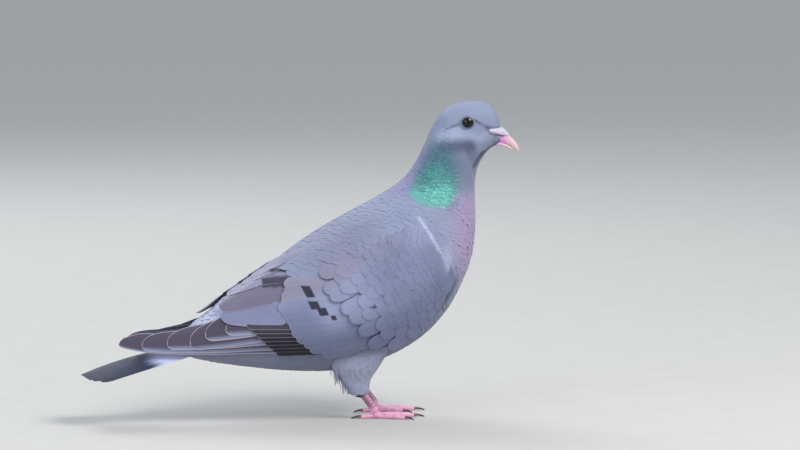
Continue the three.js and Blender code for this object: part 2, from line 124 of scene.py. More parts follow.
# ---- the bird's shape --------------------------------------------------------------------------------------
#
# The CAD model's outlines, but with a slimmer face, lower edges of the wings that lie closer to the body, and
# a broader wing tip.

# One section a row: top of the outline (x, z), its bottom (x, z), half width, and how far above the middle
# its widest place lies, as a share of its half height.
BODY_ROWS = [
    [88.4, 179.5, 88.4, 179.5, 0.0, 0.0],  # where the bill grows out of the face
    [88.6, 184.6, 87.4, 173.6, 4.0, 0.0],
    [87.5, 190.2, 84.0, 172.4, 6.7, 0.1],
    [85.0, 195.6, 80.4, 169.6, 9.3, 0.15],
    [79.6, 200.2, 77.2, 165.6, 11.6, 0.2],
    [71.6, 201.5, 74.6, 160.8, 12.9, 0.26],  # through the eye
    [61.4, 200.1, 72.8, 154.8, 13.4, 0.25],
    [51.8, 195.4, 72.1, 148.2, 13.6, 0.2],
    [44.9, 185.6, 72.1, 140.6, 14.4, 0.1],  # nape
    [39.4, 173.4, 72.4, 132.4, 16.4, 0.0],
    [33.2, 161.4, 72.5, 123.6, 20.2, 0.0],
    [24.2, 150.6, 71.8, 113.2, 26.0, 0.0],
    [10.0, 141.6, 69.6, 101.0, 32.6, 0.0],  # shoulders
    [-8.0, 132.4, 63.6, 85.6, 37.4, 0.02],
    [-27.0, 122.4, 53.0, 67.0, 40.6, 0.04],
    [-45.0, 111.2, 36.0, 50.0, 41.4, 0.06],
    [-61.0, 98.6, 12.0, 37.4, 39.2, 0.08],
    [-74.0, 86.6, -18.0, 30.4, 34.6, 0.1],
    [-86.0, 75.8, -48.0, 30.6, 28.6, 0.1],
    [-98.0, 67.6, -76.0, 33.8, 22.6, 0.08],
    [-110.0, 61.6, -100.0, 37.6, 16.6, 0.05],  # tail coverts
    [-120.0, 56.4, -117.0, 42.2, 10.0, 0.0],
    [-126.0, 49.4, -126.0, 49.4, 0.0, 0.0],
]
LAST_ROW = len(BODY_ROWS) - 1
body_section = through(BODY_ROWS)
HEAD_TURN = math.radians(15)
NECK_AXIS_X = 48
NECK_START, NECK_END = 6 / LAST_ROW, 13 / LAST_ROW


def turned(points, share):
    """Points turned about the neck's upright axis by their share of the head's turn."""
    cosine, sine = np.cos(-HEAD_TURN * share), np.sin(-HEAD_TURN * share)
    x, y = points[..., 0] - NECK_AXIS_X, points[..., 1]
    return np.stack([NECK_AXIS_X + x * cosine - y * sine, x * sine + y * cosine, points[..., 2]], axis=-1)


def straight_body(along, angle, swell=0.0):
    """A point on the body before its head is turned.

    along runs from bill to tail, and angle from the top round.
    """
    top_x, top_z, bottom_x, bottom_z, half_width, rise = np.moveaxis(body_section(along), -1, 0)
    half_x, half_z = (top_x - bottom_x) / 2, (top_z - bottom_z) / 2
    half = np.hypot(half_x, half_z)
    grow = 1 + swell * np.minimum(1, half / 3) / np.maximum(half, 1e-6)
    wide = np.sin(angle)
    high = (np.cos(angle) + rise * wide * wide) * grow
    return np.stack(
        [
            (top_x + bottom_x) / 2 + half_x * high,
            (half_width + swell * np.minimum(1, half_width / 3)) * wide,
            (top_z + bottom_z) / 2 + half_z * high,
        ],
        axis=-1,
    )


def body_point(along, angle, swell=0.0):
    """A point on the body with its head turned."""
    return turned(straight_body(along, angle, swell), 1 - smooth(along, NECK_START, NECK_END))


def section_of(x, z):
    """How far along the trunk lies the section whose plane holds the point (x, z) of the side view."""
    front, back = np.full(np.shape(x), 10 / LAST_ROW), np.ones(np.shape(x))
    for _ in range(24):
        middle = (front + back) / 2
        top_x, top_z, bottom_x, bottom_z = np.moveaxis(body_section(middle), -1, 0)[:4]
        ahead = (x - bottom_x) * (top_z - bottom_z) - (z - bottom_z) * (top_x - bottom_x)
        back = np.where(ahead > 0, middle, back)
        front = np.where(ahead > 0, front, middle)
    return front


def in_section(x, z):
    """The section through each point of the side view.

    Returns how far along it lies, how high in it the point is from -1 to 1, half its width and its rise.
    """
    along = section_of(x, z)
    top_x, top_z, bottom_x, bottom_z, half_width, rise = np.moveaxis(body_section(along), -1, 0)
    half_x, half_z = (top_x - bottom_x) / 2, (top_z - bottom_z) / 2
    high = ((x - bottom_x - half_x) * half_x + (z - bottom_z - half_z) * half_z) / (half_x**2 + half_z**2)
    return along, high, half_width, np.maximum(rise, 1e-4)


def flank(x, z):
    """Half the trunk's width where its side outline holds the point (x, z), and 0 outside that outline."""
    _, high, half_width, rise = in_section(x, z)
    cosine = (1 - np.sqrt(np.maximum(0, 1 - 4 * rise * (high - rise)))) / (2 * rise)
    return half_width * np.sqrt(np.maximum(0, 1 - cosine**2))


def back_line(x):
    """The height of the back's middle line at x."""
    line = np.array(BODY_ROWS)[:10:-1, :2]
    return np.interp(x, line[:, 0], line[:, 1])


# A line up the wing's outer face a row: lower end (x, out, z), how far out its middle lies, upper end.
WING_ROWS = [
    [50.6, 33.0, 93.0, 36.0, 35.0, 24.0, 126.0],
    [43.0, 37.0, 79.6, 41.5, 24.0, 19.0, 137.0],
    [32.0, 38.0, 67.8, 44.4, 7.0, 15.6, 135.6],
    [17.0, 38.2, 56.4, 45.4, -11.0, 13.6, 127.2],
    [0.0, 37.8, 48.8, 45.2, -28.0, 12.6, 117.6],
    [-18.0, 36.6, 44.2, 43.4, -45.0, 12.0, 107.0],
    [-38.0, 34.4, 43.0, 40.2, -61.0, 12.0, 98.0],
    [-58.0, 31.8, 43.0, 36.2, -76.0, 12.4, 88.8],
    [-80.0, 28.4, 43.2, 31.2, -92.0, 12.6, 78.6],
    [-103.0, 25.4, 43.6, 24.6, -108.0, 10.4, 68.2],
    [-127.0, 19.6, 44.6, 17.6, -127.0, 7.6, 62.4],
    [-149.0, 14.0, 46.8, 11.4, -146.0, 5.0, 60.4],
    [-165.4, 7.4, 50.4, 6.6, -164.4, 4.6, 54.6],
]
wing_line = through(WING_ROWS)
WING_THICK, WING_TIP_THICK = 7.0, 1.4
WING_COVER, WING_UPPER_COVER = 4.4, 1.6  # how far the wing stands off the flank, and off its upper edge
WING_TUCK = 4.0  # the left wing's tip lies this much nearer the middle


def wing_face(u, v, side):
    """A point on a wing's outer face. u runs from the bend to the tip, v from the lower edge to the upper."""
    low_x, low_out, low_z, middle_out, high_x, high_out, high_z = np.moveaxis(wing_line(u), -1, 0)
    x, z = mix(low_x, high_x, v), mix(low_z, high_z, v)
    bulge = middle_out - (low_out + high_out) / 2
    tuck = WING_TUCK * smooth(u, 0.75, 1) if side > 0 else 0
    free = mix(low_out, high_out, v) + 4 * bulge * v * (1 - v) - tuck
    rim = np.minimum(1, u / 0.06) * np.minimum(1, 4 * (1 - v))
    resting = flank(x, z) + WING_UPPER_COVER + (WING_COVER - WING_UPPER_COVER) * rim
    return np.stack([x, side * (free + resting + np.hypot(free - resting, 2)) / 2, z], axis=-1)


WING_OVER = 1.3  # the sheet under the innermost feathers runs on over the back up to this v
BACK_COVER = 1.2  # how far it clears the back's middle line


def wing_chord(u):
    """The straight length of the wing's face from its lower to its upper edge."""
    low_x, _, low_z, _, high_x, _, high_z = np.moveaxis(wing_line(u), -1, 0)
    return np.hypot(high_x - low_x, high_z - low_z)


def wing_over(u, v, side):
    """The wing's outer face, carried on over the back towards its middle line where v passes 1."""
    point, edge = wing_face(u, np.minimum(v, 1), side), wing_face(u, np.ones_like(u), side)
    out = side * edge[..., 1]
    inward = np.minimum(np.maximum(v - 1, 0) * wing_chord(u), out + 7)
    rise = np.maximum(back_line(edge[..., 0]) + BACK_COVER - edge[..., 2], 0.3)
    share = 1 - (1 - inward / out) ** 2
    return point + np.stack([-0.2 * inward, -side * inward, rise * share], axis=-1)


TAIL_ROOT, TAIL_TIP = (-96.0, 56.0), (-184.8, 31.6)  # x and z of the middle feathers' ends
TAIL_BOW = 3.6
TAIL_HALF = (20.0, 24.0)  # half the fan's width at its root and at its tip
TAIL_DROOP = (9.6, 3.6)  # how far its sides hang below its middle there
TAIL_SHORTER, TAIL_CORNER = 4.0, 11.0


def tail_face(reach, across):
    """A point on the upper face of the closed tail. across runs from -1 on the right to 1 on the left."""
    half = mix(*TAIL_HALF, smooth(reach, 0, 1))
    droop = mix(*TAIL_DROOP, np.clip(reach, 0, 1) ** 3) * across**2
    z = mix(TAIL_ROOT[1], TAIL_TIP[1], reach) + 4 * TAIL_BOW * reach**2 * (1 - reach) - droop
    return np.stack([mix(TAIL_ROOT[0], TAIL_TIP[0], reach), across * half, z], axis=-1)


LEG_OUT = 17
LEG_AHEAD = {"right": 0, "left": 9}
ANKLE, HEEL, FOOT = (-9.0, 15.0), (-9.6, 21.0), (3.2, 3.8)
SHANK, BALL = 2.3, 3.0
TOES = {  # how far each turns inward from straight ahead, its length, its radius and its claw's length
    "middle": (2, 25.0, 1.9, 6.4),
    "inner": (36, 18.5, 1.7, 5.6),
    "outer": (-34, 19.5, 1.7, 5.2),
    "hind": (172, 11.5, 1.6, 5.8),
}


def thigh_rows(side_name):
    """Rows of x, z, radius fore and aft, radius sideways and distance out, from the trunk to the ankle."""
    ahead = LEG_AHEAD[side_name]
    return [
        [-4 + ahead * 0.2, 58, 0, 0, LEG_OUT],
        [-5 + ahead * 0.2, 54, 15, 11, LEG_OUT],
        [-8 + ahead * 0.3, 44, 18, 14, LEG_OUT + 1],
        [-11 + ahead * 0.5, 34, 15.5, 11.5, LEG_OUT + 1],
        [-11 + ahead * 0.8, 25.5, 10.2, 8, LEG_OUT],
        [ANKLE[0] + ahead, 18.6, 7.0, 5.8, LEG_OUT],
        [ANKLE[0] + ahead, ANKLE[1] + 1, 5.2, 4.6, LEG_OUT],
        [ANKLE[0] + 0.4 + ahead, ANKLE[1], 0, 0, LEG_OUT],
    ]


def thigh_face(down, turn, side_name, swell=0.0):
    """A point on a thigh. down runs from the trunk to the ankle, and turn from the front round."""
    x, z, long, wide, out = np.moveaxis(through(thigh_rows(side_name))(down), -1, 0)
    reach = np.minimum(1, long / 4) * swell
    y = SIDES[side_name] * out + (wide + reach) * np.sin(turn)
    return np.stack([x + (long + reach) * np.cos(turn), y, z], axis=-1)


class Sheet:
    """A curved surface kept as a grid of points over two directions a and b, with its outward normals."""

    def __init__(self, shape, a_range, b_range, steps, outward_at):
        self.low = np.array([a_range[0], b_range[0]], float)
        self.step = np.array([(r[1] - r[0]) / (n - 1) for r, n in zip((a_range, b_range), steps)])
        self.points = shape(*grid_of(np.linspace(*a_range, steps[0]), np.linspace(*b_range, steps[1])))
        normals = unit(np.cross(np.gradient(self.points, axis=0), np.gradient(self.points, axis=1)))
        flips = np.sum(normals * outward_at(self.points), axis=-1) < 0
        normals[flips] *= -1
        self.normals = normals

    def at(self, a, b, height=0.0, with_normal=False):
        """Points at (a, b), raised along the normal. Past its edges the sheet runs straight on."""
        place = (np.stack(np.broadcast_arrays(a, b), axis=-1) - self.low) / self.step
        cell = np.clip(np.floor(place).astype(int), 0, np.array(self.points.shape[:2]) - 2)
        f = place - cell
        g = np.clip(f, 0, 1)

        def blend(grid, f):
            i, j = cell[..., 0], cell[..., 1]
            near = mix(grid[i, j], grid[i, j + 1], f[..., 1:])
            far = mix(grid[i + 1, j], grid[i + 1, j + 1], f[..., 1:])
            return mix(near, far, f[..., :1])

        normal = unit(blend(self.normals, g))
        point = blend(self.points, f) + normal * np.asarray(height)[..., None]
        return (point, normal) if with_normal else point

    def slopes(self, a, b):
        """How the point moves with a and with b."""
        step_a, step_b = self.step
        by_a = (self.at(a + step_a, b) - self.at(a - step_a, b)) / (2 * step_a)
        by_b = (self.at(a, b + step_b) - self.at(a, b - step_b)) / (2 * step_b)
        return by_a, by_b


def away_from_axis(points):
    """Roughly outward on head, neck and trunk: away from the middle line of the grid's own sections."""
    return points - points.mean(axis=1, keepdims=True)


WHOLE = (0.0, 1.0)
WRAPPED = (-0.5 * PI, 2.5 * PI)  # round sheets run on a quarter turn past their seam on both sides
BODY_STEPS, WING_STEPS, TAIL_STEPS, THIGH_STEPS = (440, 361), (300, 183), (90, 61), (90, 121)
body_sheet = Sheet(body_point, WHOLE, WRAPPED, BODY_STEPS, away_from_axis)


def wing_sheet(side):
    return Sheet(
        lambda u, v: wing_over(u, v, side), WHOLE, (0.0, WING_OVER), WING_STEPS, lambda points: (0, side, 0.4)
    )


wing_sheets = {name: wing_sheet(side) for name, side in SIDES.items()}


def blurred(grid, cells):
    """The grid softened over the given number of cells each way."""
    reach = np.arange(-3 * cells, 3 * cells + 1)
    weights = np.exp(-((reach / cells) ** 2) / 2)
    weights /= weights.sum()
    for axis in (0, 1):
        padded = np.pad(grid, [(3 * cells, 3 * cells) if k == axis else (0, 0) for k in (0, 1)], mode="edge")
        grid = sum(w * np.take(padded, np.arange(grid.shape[axis]) + k, axis) for k, w in enumerate(weights))
    return grid


RUMP_PUFF = 0.22  # how far the rump's feathers puff up, as a share of its half height
COVER_GAP = 0.25  # how far mantle and breast feathers clear the wing's own


def cover_growth():
    """How much each place of the body's sheet grows to cover the wings' front and upper edges too."""
    count_a, count_b = body_sheet.points.shape[:2]
    growth = np.ones((count_a, count_b))
    u, v = grid_of(np.linspace(0, 0.66, 500), np.linspace(0.0, 1.0, 400))
    upper, front = smooth(v, 0.6, 0.8), smooth(u, 0.1, 0.05) * smooth(v, 0.08, 0.3)
    share = np.maximum(upper, front) * smooth(u, 0.66, 0.58)
    for side in SIDES.values():
        x, y, z = np.moveaxis(wing_face(u, v, side), -1, 0)
        along, high, half_width, rise = in_section(x, z)
        ratio, angle = np.ones_like(x), np.zeros_like(x)
        for _ in range(4):
            angle = np.arctan2(y / half_width, high - rise * ratio * np.sin(angle) ** 2)
            ratio = np.hypot(y / half_width, high - rise * ratio * np.sin(angle) ** 2)
        ratio = 1 + (ratio - 1 + COVER_GAP / half_width) * share
        for lap in (0, -2 * PI, 2 * PI):
            place_b = np.rint((angle + lap - body_sheet.low[1]) / body_sheet.step[1]).astype(int)
            inside = (place_b >= 0) & (place_b < count_b)
            place_a = np.rint(along / body_sheet.step[0]).astype(int)
            np.maximum.at(growth, (place_a[inside], place_b[inside]), ratio[inside])
    for axis in (0, 1):
        growth = np.maximum(growth, np.maximum(np.roll(growth, 1, axis), np.roll(growth, -1, axis)))
    return blurred(growth, 4)


def grown(a, b, growth):
    """The body's outline with each point's distance from its section's middle multiplied by its growth."""
    top_x, top_z, bottom_x, bottom_z = np.moveaxis(body_section(a), -1, 0)[:4]
    middle = np.stack([(top_x + bottom_x) / 2, 0 * a, (top_z + bottom_z) / 2], axis=-1)
    middle = turned(middle, 1 - smooth(a, NECK_START, NECK_END))
    return middle + (body_point(a, b) - middle) * growth[..., None]


def cover_face(a, b):
    """What mantle and breast lie on: the body's outline, smoothed over the wings' front and upper edges."""
    return grown(a, b, cover_growth())


def rump_face(a, b):
    """The body's outline with the rump's feathers puffed up behind the wings."""
    row = a * LAST_ROW
    puffed = smooth(row, 16.8, 18.4) * smooth(row, 21.2, 19.8) * smooth(np.cos(b), 0.0, 0.8)
    return grown(a, b, 1 + RUMP_PUFF * puffed)


cover_sheet = Sheet(cover_face, WHOLE, WRAPPED, BODY_STEPS, away_from_axis)
rump_sheet = Sheet(rump_face, WHOLE, WRAPPED, BODY_STEPS, away_from_axis)
tail_sheet = Sheet(tail_face, WHOLE, (-1.0, 1.0), TAIL_STEPS, lambda points: (0, 0, 1))


def thigh_sheet(name):
    return Sheet(
        lambda down, turn: thigh_face(down, turn, name), (0.04, 0.985), WRAPPED, THIGH_STEPS, away_from_axis
    )


thigh_sheets = {name: thigh_sheet(name) for name in SIDES}


# ---- meshes -----------------------------------------------------------------------------------------------

ATTRIBUTE_KINDS = {1: ("FLOAT", "value"), 3: ("FLOAT_VECTOR", "vector"), 4: ("FLOAT_COLOR", "color")}


def add_attribute(mesh, key, values):
    """A mesh attribute of one, three or four numbers a point."""
    kind, field = ATTRIBUTE_KINDS[1 if values.ndim == 1 else values.shape[1]]
    mesh.attributes.new(key, kind, "POINT").data.foreach_set(field, values.astype(np.float32).reshape(-1))


def add_bake_uv(mesh, corner_uv):
    """The UV map named OFBake, for baking colours on, kept just inside the square."""
    layer = mesh.uv_layers.new(name="OFBake")
    layer.data.foreach_set("uv", np.clip(corner_uv, 0.0005, 0.9995).astype(np.float32).reshape(-1))


def add_mesh(name, points, faces, attributes=None, bake_uv=None, flat=False, material=None):
    """A mesh object from drawing points and arrays of faces, each array with its own number of corners."""
    points = to_frame(points)
    corners = np.concatenate([f.reshape(-1) for f in faces]).astype(np.int32)
    sizes = np.concatenate([np.full(len(f), f.shape[1]) for f in faces]).astype(np.int32)
    mesh = bpy.data.meshes.new(name)
    mesh.vertices.add(len(points))
    mesh.vertices.foreach_set("co", points.astype(np.float32).reshape(-1))
    mesh.loops.add(len(corners))
    mesh.loops.foreach_set("vertex_index", corners)
    mesh.polygons.add(len(sizes))
    mesh.polygons.foreach_set("loop_start", np.concatenate([[0], np.cumsum(sizes)[:-1]]).astype(np.int32))
    mesh.polygons.foreach_set("use_smooth", np.full(len(sizes), not flat))
    mesh.update(calc_edges=True)
    for key, values in (attributes or {}).items():
        add_attribute(mesh, key, values)
    if bake_uv is not None:
        add_bake_uv(mesh, bake_uv[corners])
    if material is not None:
        mesh.materials.append(material)
    made = bpy.data.objects.new(name, mesh)
    bpy.context.scene.collection.objects.link(made)
    return made


def read(collection, field, kind, width=1):
    """One field of a mesh's vertices, corners or faces as an array."""
    values = np.zeros(len(collection) * width, kind)
    collection.foreach_get(field, values)
    return values


def tube_faces(rings, around):
    """Faces of a closed tube of rings with the given number of points around: its wall, and its two ends."""
    i, j = grid_of(np.arange(rings - 1), np.arange(around))
    a, b = i * around + j, i * around + (j + 1) % around
    wall = np.stack([a, b, b + around, a + around], axis=-1).reshape(-1, 4)
    first = np.arange(around)[::-1]
    return wall, np.stack([first, (rings - 1) * around + np.arange(around)])


def settle(piece, slot, *replaced):
    """The piece rides with the bird and stands for the CAD nodes it replaces. slot is not used."""
    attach(piece, BODY)
    if replaced:
        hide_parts(*replaced)
    return piece


class Feathers:
    """Feathers gathered for one piece: their points, faces, colours and places on the unwrapped surface."""

    def __init__(self, softness):
        self.points, self.normals, self.walls, self.ends, self.data, self.uv = [], [], [], [], [], []
        self.count = 0
        self.softness = softness  # how far each feather's shading follows the surface that it lies on

    def add(self, points, normals, plumage, vane, tuft, uv):
        """Feathers of one build: arrays of feather, ring, point round the ring and value."""
        number, rings, around = points.shape[:3]
        wall, ends = tube_faces(rings, around)
        # the faces of a piece drawn on a mirrored sheet are turned round, so that they all face outward
        outward = np.cross(points[:, :-1, 1] - points[:, :-1, 0], points[:, 1:, 0] - points[:, :-1, 0])
        if np.sum(outward * normals[:, :-1, 0]) < 0:
            wall, ends = wall[:, ::-1], ends[:, ::-1]
        start = self.count + np.arange(number)[:, None, None] * rings * around
        self.points.append(points.reshape(-1, 3))
        self.normals.append(normals.reshape(-1, 3))
        self.walls.append((start + wall).reshape(-1, 4))
        self.ends.append((start + ends).reshape(-1, around))
        self.data.append([x.reshape(-1, x.shape[-1]) for x in (plumage, vane, tuft)])
        self.uv.append(uv.reshape(-1, 2))
        self.count += number * rings * around

    def piece(self, name, slot, material, *replaced):
        """All the feathers as one object."""
        plumage, vane, tuft = (np.concatenate([d[k] for d in self.data]) for k in range(3))
        made = add_mesh(
            name,
            np.concatenate(self.points),
            self.walls + self.ends,
            {"plumage": plumage, "vane": vane, "tuft": tuft},
            np.concatenate(self.uv),
            material=material,
        )
        own = read(made.data.vertex_normals, "vector", np.float32, 3).reshape(-1, 3)
        surface = np.concatenate(self.normals)
        # the thin rims, whose own normals point anywhere, take the surface's
        share = np.where(np.sum(own * surface, axis=-1, keepdims=True) > 0.5, self.softness, 1.0)
        made.data.normals_split_custom_set_from_vertices(unit(mix(own, surface, share)))
        return settle(made, slot, *replaced)


# ---- markings ---------------------------------------------------------------------------------------------

BLUE_GREY = colour(137, 146, 174)
MARKS = {
    "crown": colour(146, 156, 186),
    "cheek": colour(170, 180, 212),
    "chin": colour(118, 128, 152),
    "line": colour(62, 68, 92),
    # band: painted shade under the cheek, and the thin dark line from below the eye towards the cere
    "band": colour(66, 74, 102),
    # throat: the dark greenish line under the chin, partly its own green and partly painted shade under the
    # chin
    "throat": colour(52, 66, 78),
    "green_dark": colour(74, 118, 130),
    "green": colour(72, 146, 144),
    "mint": colour(96, 172, 162),
    "purple": colour(140, 128, 182),
    "wine": colour(164, 146, 180),
    # painted shade: the underside's grey, darker than the back's as it lies in shade
    "belly_shade": colour(116, 123, 147),
    "mantle": colour(138, 146, 175),
    "scapular": colour(128, 128, 155),
    "rump": colour(178, 184, 212),
    "vent": colour(128, 134, 158),
    "thigh": colour(162, 166, 194),
    "wing_shadow": colour(62, 68, 90),
}


def folded(points):
    """Points with those on the right side mirrored to the left."""
    return np.stack([points[..., 0], np.abs(points[..., 1]), points[..., 2]], axis=-1)


def spot(points, centre, radii, soft=0.6):
    """1 inside an ellipsoid on either side of the bird, falling smoothly to 0 outside it."""
    offset = np.abs(folded(points) - np.array(centre, float)) / radii
    return 1 - smooth(np.linalg.norm(offset, axis=-1), 1 - soft, 1 + soft)


def stroke(points, start, end, radius):
    """1 along a line on either side of the bird, falling to 0 at the radius."""
    start, end = np.array(start, float), np.array(end, float)
    offset, way = folded(points) - start, end - start
    share = np.clip(offset @ way / (way @ way), 0, 1)[..., None]
    return 1 - smooth(np.linalg.norm(offset - share * way, axis=-1), 0.25 * radius, radius)


def painted(shade, layers, palette):
    """A colour with layers of others over it, each by its name and its share at every point."""
    for name, share in layers:
        shade = mix(shade, palette[name], np.clip(share, 0, 1)[..., None])
    return shade


def with_glow(shade, glow=0.0):
    """Colours with how much they shine as a fourth number."""
    return np.concatenate([shade, np.broadcast_to(glow, shade.shape[:-1])[..., None]], axis=-1)


def body_colour(points):
    """The plumage's colour at points of the bird as it is before its head is turned."""
    x, z = points[..., 0], points[..., 2]
    layers = [
        ("mantle", smooth(x, 45, 5) * smooth(z, 95, 125)),
        # painted shade: the plumage darkens towards the bottom
        ("belly_shade", smooth(z, 100, 58)),
        ("rump", smooth(x, -66, -84) * smooth(z, 52, 62)),
        ("vent", smooth(x, -40, -80) * smooth(z, 52, 40)),
        ("scapular", 0.7 * spot(points, (-26, 26, 118), (30, 26, 22))),
        ("rump", 0.6 * spot(points, (44.5, 33, 103), (5.5, 9, 8), 0.6)),
        ("wine", 0.95 * spot(points, (68, 0, 115), (24, 44, 30), 0.4)),
        ("chin", 0.85 * spot(points, (65, 12, 158), (12, 14, 12))),
        ("crown", 0.6 * stroke(points, (43, 8, 182), (37, 8, 168), 8)),
        ("purple", 0.7 * stroke(points, (36, 6, 166), (24, 10, 146), 9)),
        ("crown", 0.7 * spot(points, (50, 8, 186), (13, 14, 13))),
        ("green_dark", 0.9 * spot(points, (48, 16, 164), (11, 14, 13), 0.55)),
        ("green", 0.9 * spot(points, (44, 18, 152), (15, 14, 11), 0.45)),
        ("mint", smooth(z, 152, 145) * spot(points, (42.5, 20, 144.5), (15.4, 14, 9.6), 0.22)),
        ("crown", 0.75 * spot(points, (70, 0, 199), (20, 14, 11))),
        ("cheek", 0.95 * spot(points, (56, 13, 181), (12, 6, 4.2), 0.75)),
        ("cheek", 0.6 * spot(points, (76, 11, 179), (8, 6, 3.4))),
        # painted shade under the cheek, then a thin dark line below the eye
        ("band", 0.5 * stroke(points, (52, 14, 174), (68, 12, 173), 7)),
        ("band", 0.4 * stroke(points, (68, 12, 173), (73, 11, 165), 6)),
        ("band", 0.35 * stroke(points, (56, 14, 174), (69, 12, 173), 3.6)),
        ("band", 0.6 * stroke(points, (73, 11.5, 181), (83, 8, 181.2), 1.5)),
        ("chin", 0.9 * stroke(points, (88, 0, 173), (74, 0, 160), 9)),
        # partly painted shade: the dark line under the chin
        ("throat", 0.95 * stroke(points, (86, 3.5, 173.6), (77, 6, 168), 2.4)),
        ("throat", 0.95 * stroke(points, (77, 6, 168), (72.5, 8, 160), 3.4)),
        ("line", 0.9 * stroke(points, (71.4, 12.6, 189.8), (81, 10, 184.6), 1.7)),
        ("line", 0.6 * stroke(points, (63, 13, 187.8), (50, 12.5, 183.6), 1.5)),
    ]
    return painted(np.broadcast_to(BLUE_GREY, points.shape), layers, MARKS)


def iridescence(points):
    """How much the neck's feathers shine with colour, from 0 to 1."""
    upper = spot(points, (46, 18, 156), (15, 16, 14), 0.5)
    lower = spot(points, (44, 24, 142), (17, 16, 9), 0.35)
    return np.clip(0.8 * upper + lower, 0, 1)


# ---- materials --------------------------------------------------------------------------------------------


class Nodes:
    """A node material being wired up, with short calls for the nodes that it needs."""

    def __init__(self, name):
        self.material = bpy.data.materials.new(name)
        self.material.use_nodes = True
        self.tree = self.material.node_tree
        self.tree.nodes.clear()
        self.shader = self.add("ShaderNodeBsdfPrincipled")
        output = self.add("ShaderNodeOutputMaterial")
        self.tree.links.new(self.shader.outputs[0], output.inputs[0])

    def add(self, kind, **settings):
        """A node of this kind with these settings."""
        node = self.tree.nodes.new(kind)
        for key, value in settings.items():
            setattr(node, key, value)
        return node

    def link(self, value, socket):
        """The value, or the link if it is one, given to the socket."""
        if isinstance(value, bpy.types.NodeSocket):
            self.tree.links.new(value, socket)
        else:
            socket.default_value = value

    def math(self, operation, *values):
        node = self.add("ShaderNodeMath", operation=operation)
        for value, socket in zip(values, node.inputs):
            self.link(value, socket)
        return node.outputs[0]

    def ramp(self, value, low, high, to_low=0.0, to_high=1.0):
        """The value's smooth change from one number to another between low and high."""
        node = self.add("ShaderNodeMapRange", interpolation_type="SMOOTHSTEP")
        for given, socket in zip((value, low, high, to_low, to_high), node.inputs):
            self.link(given, socket)
        return node.outputs[0]

    def mix(self, share, a, b, blend="MIX"):
        node = self.add("ShaderNodeMix", data_type="RGBA", blend_type=blend)
        self.link(share, node.inputs[0])
        self.link(a, node.inputs[6])
        self.link(b, node.inputs[7])
        return node.outputs[2]

    def attribute(self, name):
        return self.add("ShaderNodeAttribute", attribute_name=name)

    def parts(self, vector):
        node = self.add("ShaderNodeSeparateXYZ")
        self.link(vector, node.inputs[0])
        return node.outputs

    def place(self):
        return self.add("ShaderNodeTexCoord").outputs["Object"]

    def noise(self, scale, detail=2.0):
        node = self.add("ShaderNodeTexNoise")
        self.link(self.place(), node.inputs["Vector"])
        node.inputs["Scale"].default_value = scale
        node.inputs["Detail"].default_value = detail
        return node.outputs["Fac"]

    def bump(self, height, distance, strength):
        node = self.add("ShaderNodeBump")
        node.inputs["Strength"].default_value = strength
        node.inputs["Distance"].default_value = distance
        self.link(height, node.inputs["Height"])
        return node.outputs[0]

    def set(self, **sockets):
        """Values or links for the shader's sockets, by name with _ for a space."""
        for key, value in sockets.items():
            self.link(value, self.shader.inputs[key.replace("_", " ")])
        return self.material


def rgba(shade):
    """A colour array as a socket takes it."""
    return (*[float(c) for c in shade], 1.0)


def solid(red, green, blue):
    """A colour for a shader's socket."""
    return rgba(colour(red, green, blue))


BARB_DEPTH = 0.00005


def plumage_material(
    name, fringe, roughness=0.62, sheen=0.2, barb_pitch=0.34, variety=1.0, root_shade=0.86, rim_width=0.85,
    shine=False,
):
    """Feathers: their own colour, varied from one to the next, with barbs, a shaft and a fringe at the edge.

    barb_pitch and rim_width are in millimetres. The root's shade is a share of the tip's.
    """
    n = Nodes(name)
    plumage, vane, tuft = (n.attribute(key) for key in ("plumage", "vane", "tuft"))
    along, across, edge = n.parts(vane.outputs["Vector"])
    one, reach, fringed = n.parts(tuft.outputs["Vector"])
    off = n.math("ABSOLUTE", across)
    wander = n.math("MULTIPLY", n.noise(700), 0.5)
    barb_phase = n.math("MULTIPLY", n.math("ADD", along, n.math("ADD", off, wander)), 2 * PI / barb_pitch)
    barbs = n.math("MULTIPLY_ADD", n.math("SINE", barb_phase), 0.5, 0.5)
    shaft = n.ramp(off, 0.08, 0.3, 1.0, 0.0)
    patches = n.noise(60, 3)

    def swing(source, strength):
        return n.math("MULTIPLY", n.math("SUBTRACT", source, 0.5), strength)

    value = n.math("ADD", swing(one, 0.1 * variety), 1.0)
    value = n.math("ADD", value, swing(patches, 0.2))
    value = n.math("ADD", value, swing(barbs, 0.07))
    value = n.math("MULTIPLY", value, n.ramp(reach, 0.35, 0.75, root_shade, 1.0))
    value = n.math("SUBTRACT", value, n.math("MULTIPLY", shaft, 0.07))
    grey = n.add("ShaderNodeCombineColor")
    for socket in grey.inputs:
        n.link(value, socket)
    shade = n.mix(1.0, plumage.outputs["Color"], grey.outputs[0], "MULTIPLY")
    rim = n.math("MULTIPLY", n.ramp(edge, 0.3 * rim_width, rim_width, 1.0, 0.0), fringed)
    shade = n.mix(rim, shade, rgba(fringe))
    height = n.math("ADD", n.math("MULTIPLY", barbs, 0.7), n.math("MULTIPLY", shaft, 1.6))
    normal = n.bump(height, BARB_DEPTH, 0.7)
    rough, metal = n.math("ADD", n.math("MULTIPLY", n.noise(300), 0.14), roughness - 0.07), 0.0
    if shine:
        glow = plumage.outputs["Alpha"]
        rough = n.math("SUBTRACT", rough, n.math("MULTIPLY", glow, 0.16))
        metal = n.math("MULTIPLY", glow, 0.25)
    return n.set(
        Base_Color=shade,
        Roughness=rough,
        Metallic=metal,
        Normal=normal,
        Sheen_Weight=sheen,
        Sheen_Roughness=0.45,
        Sheen_Tint=solid(214, 220, 238),
        Specular_IOR_Level=0.32,
    )


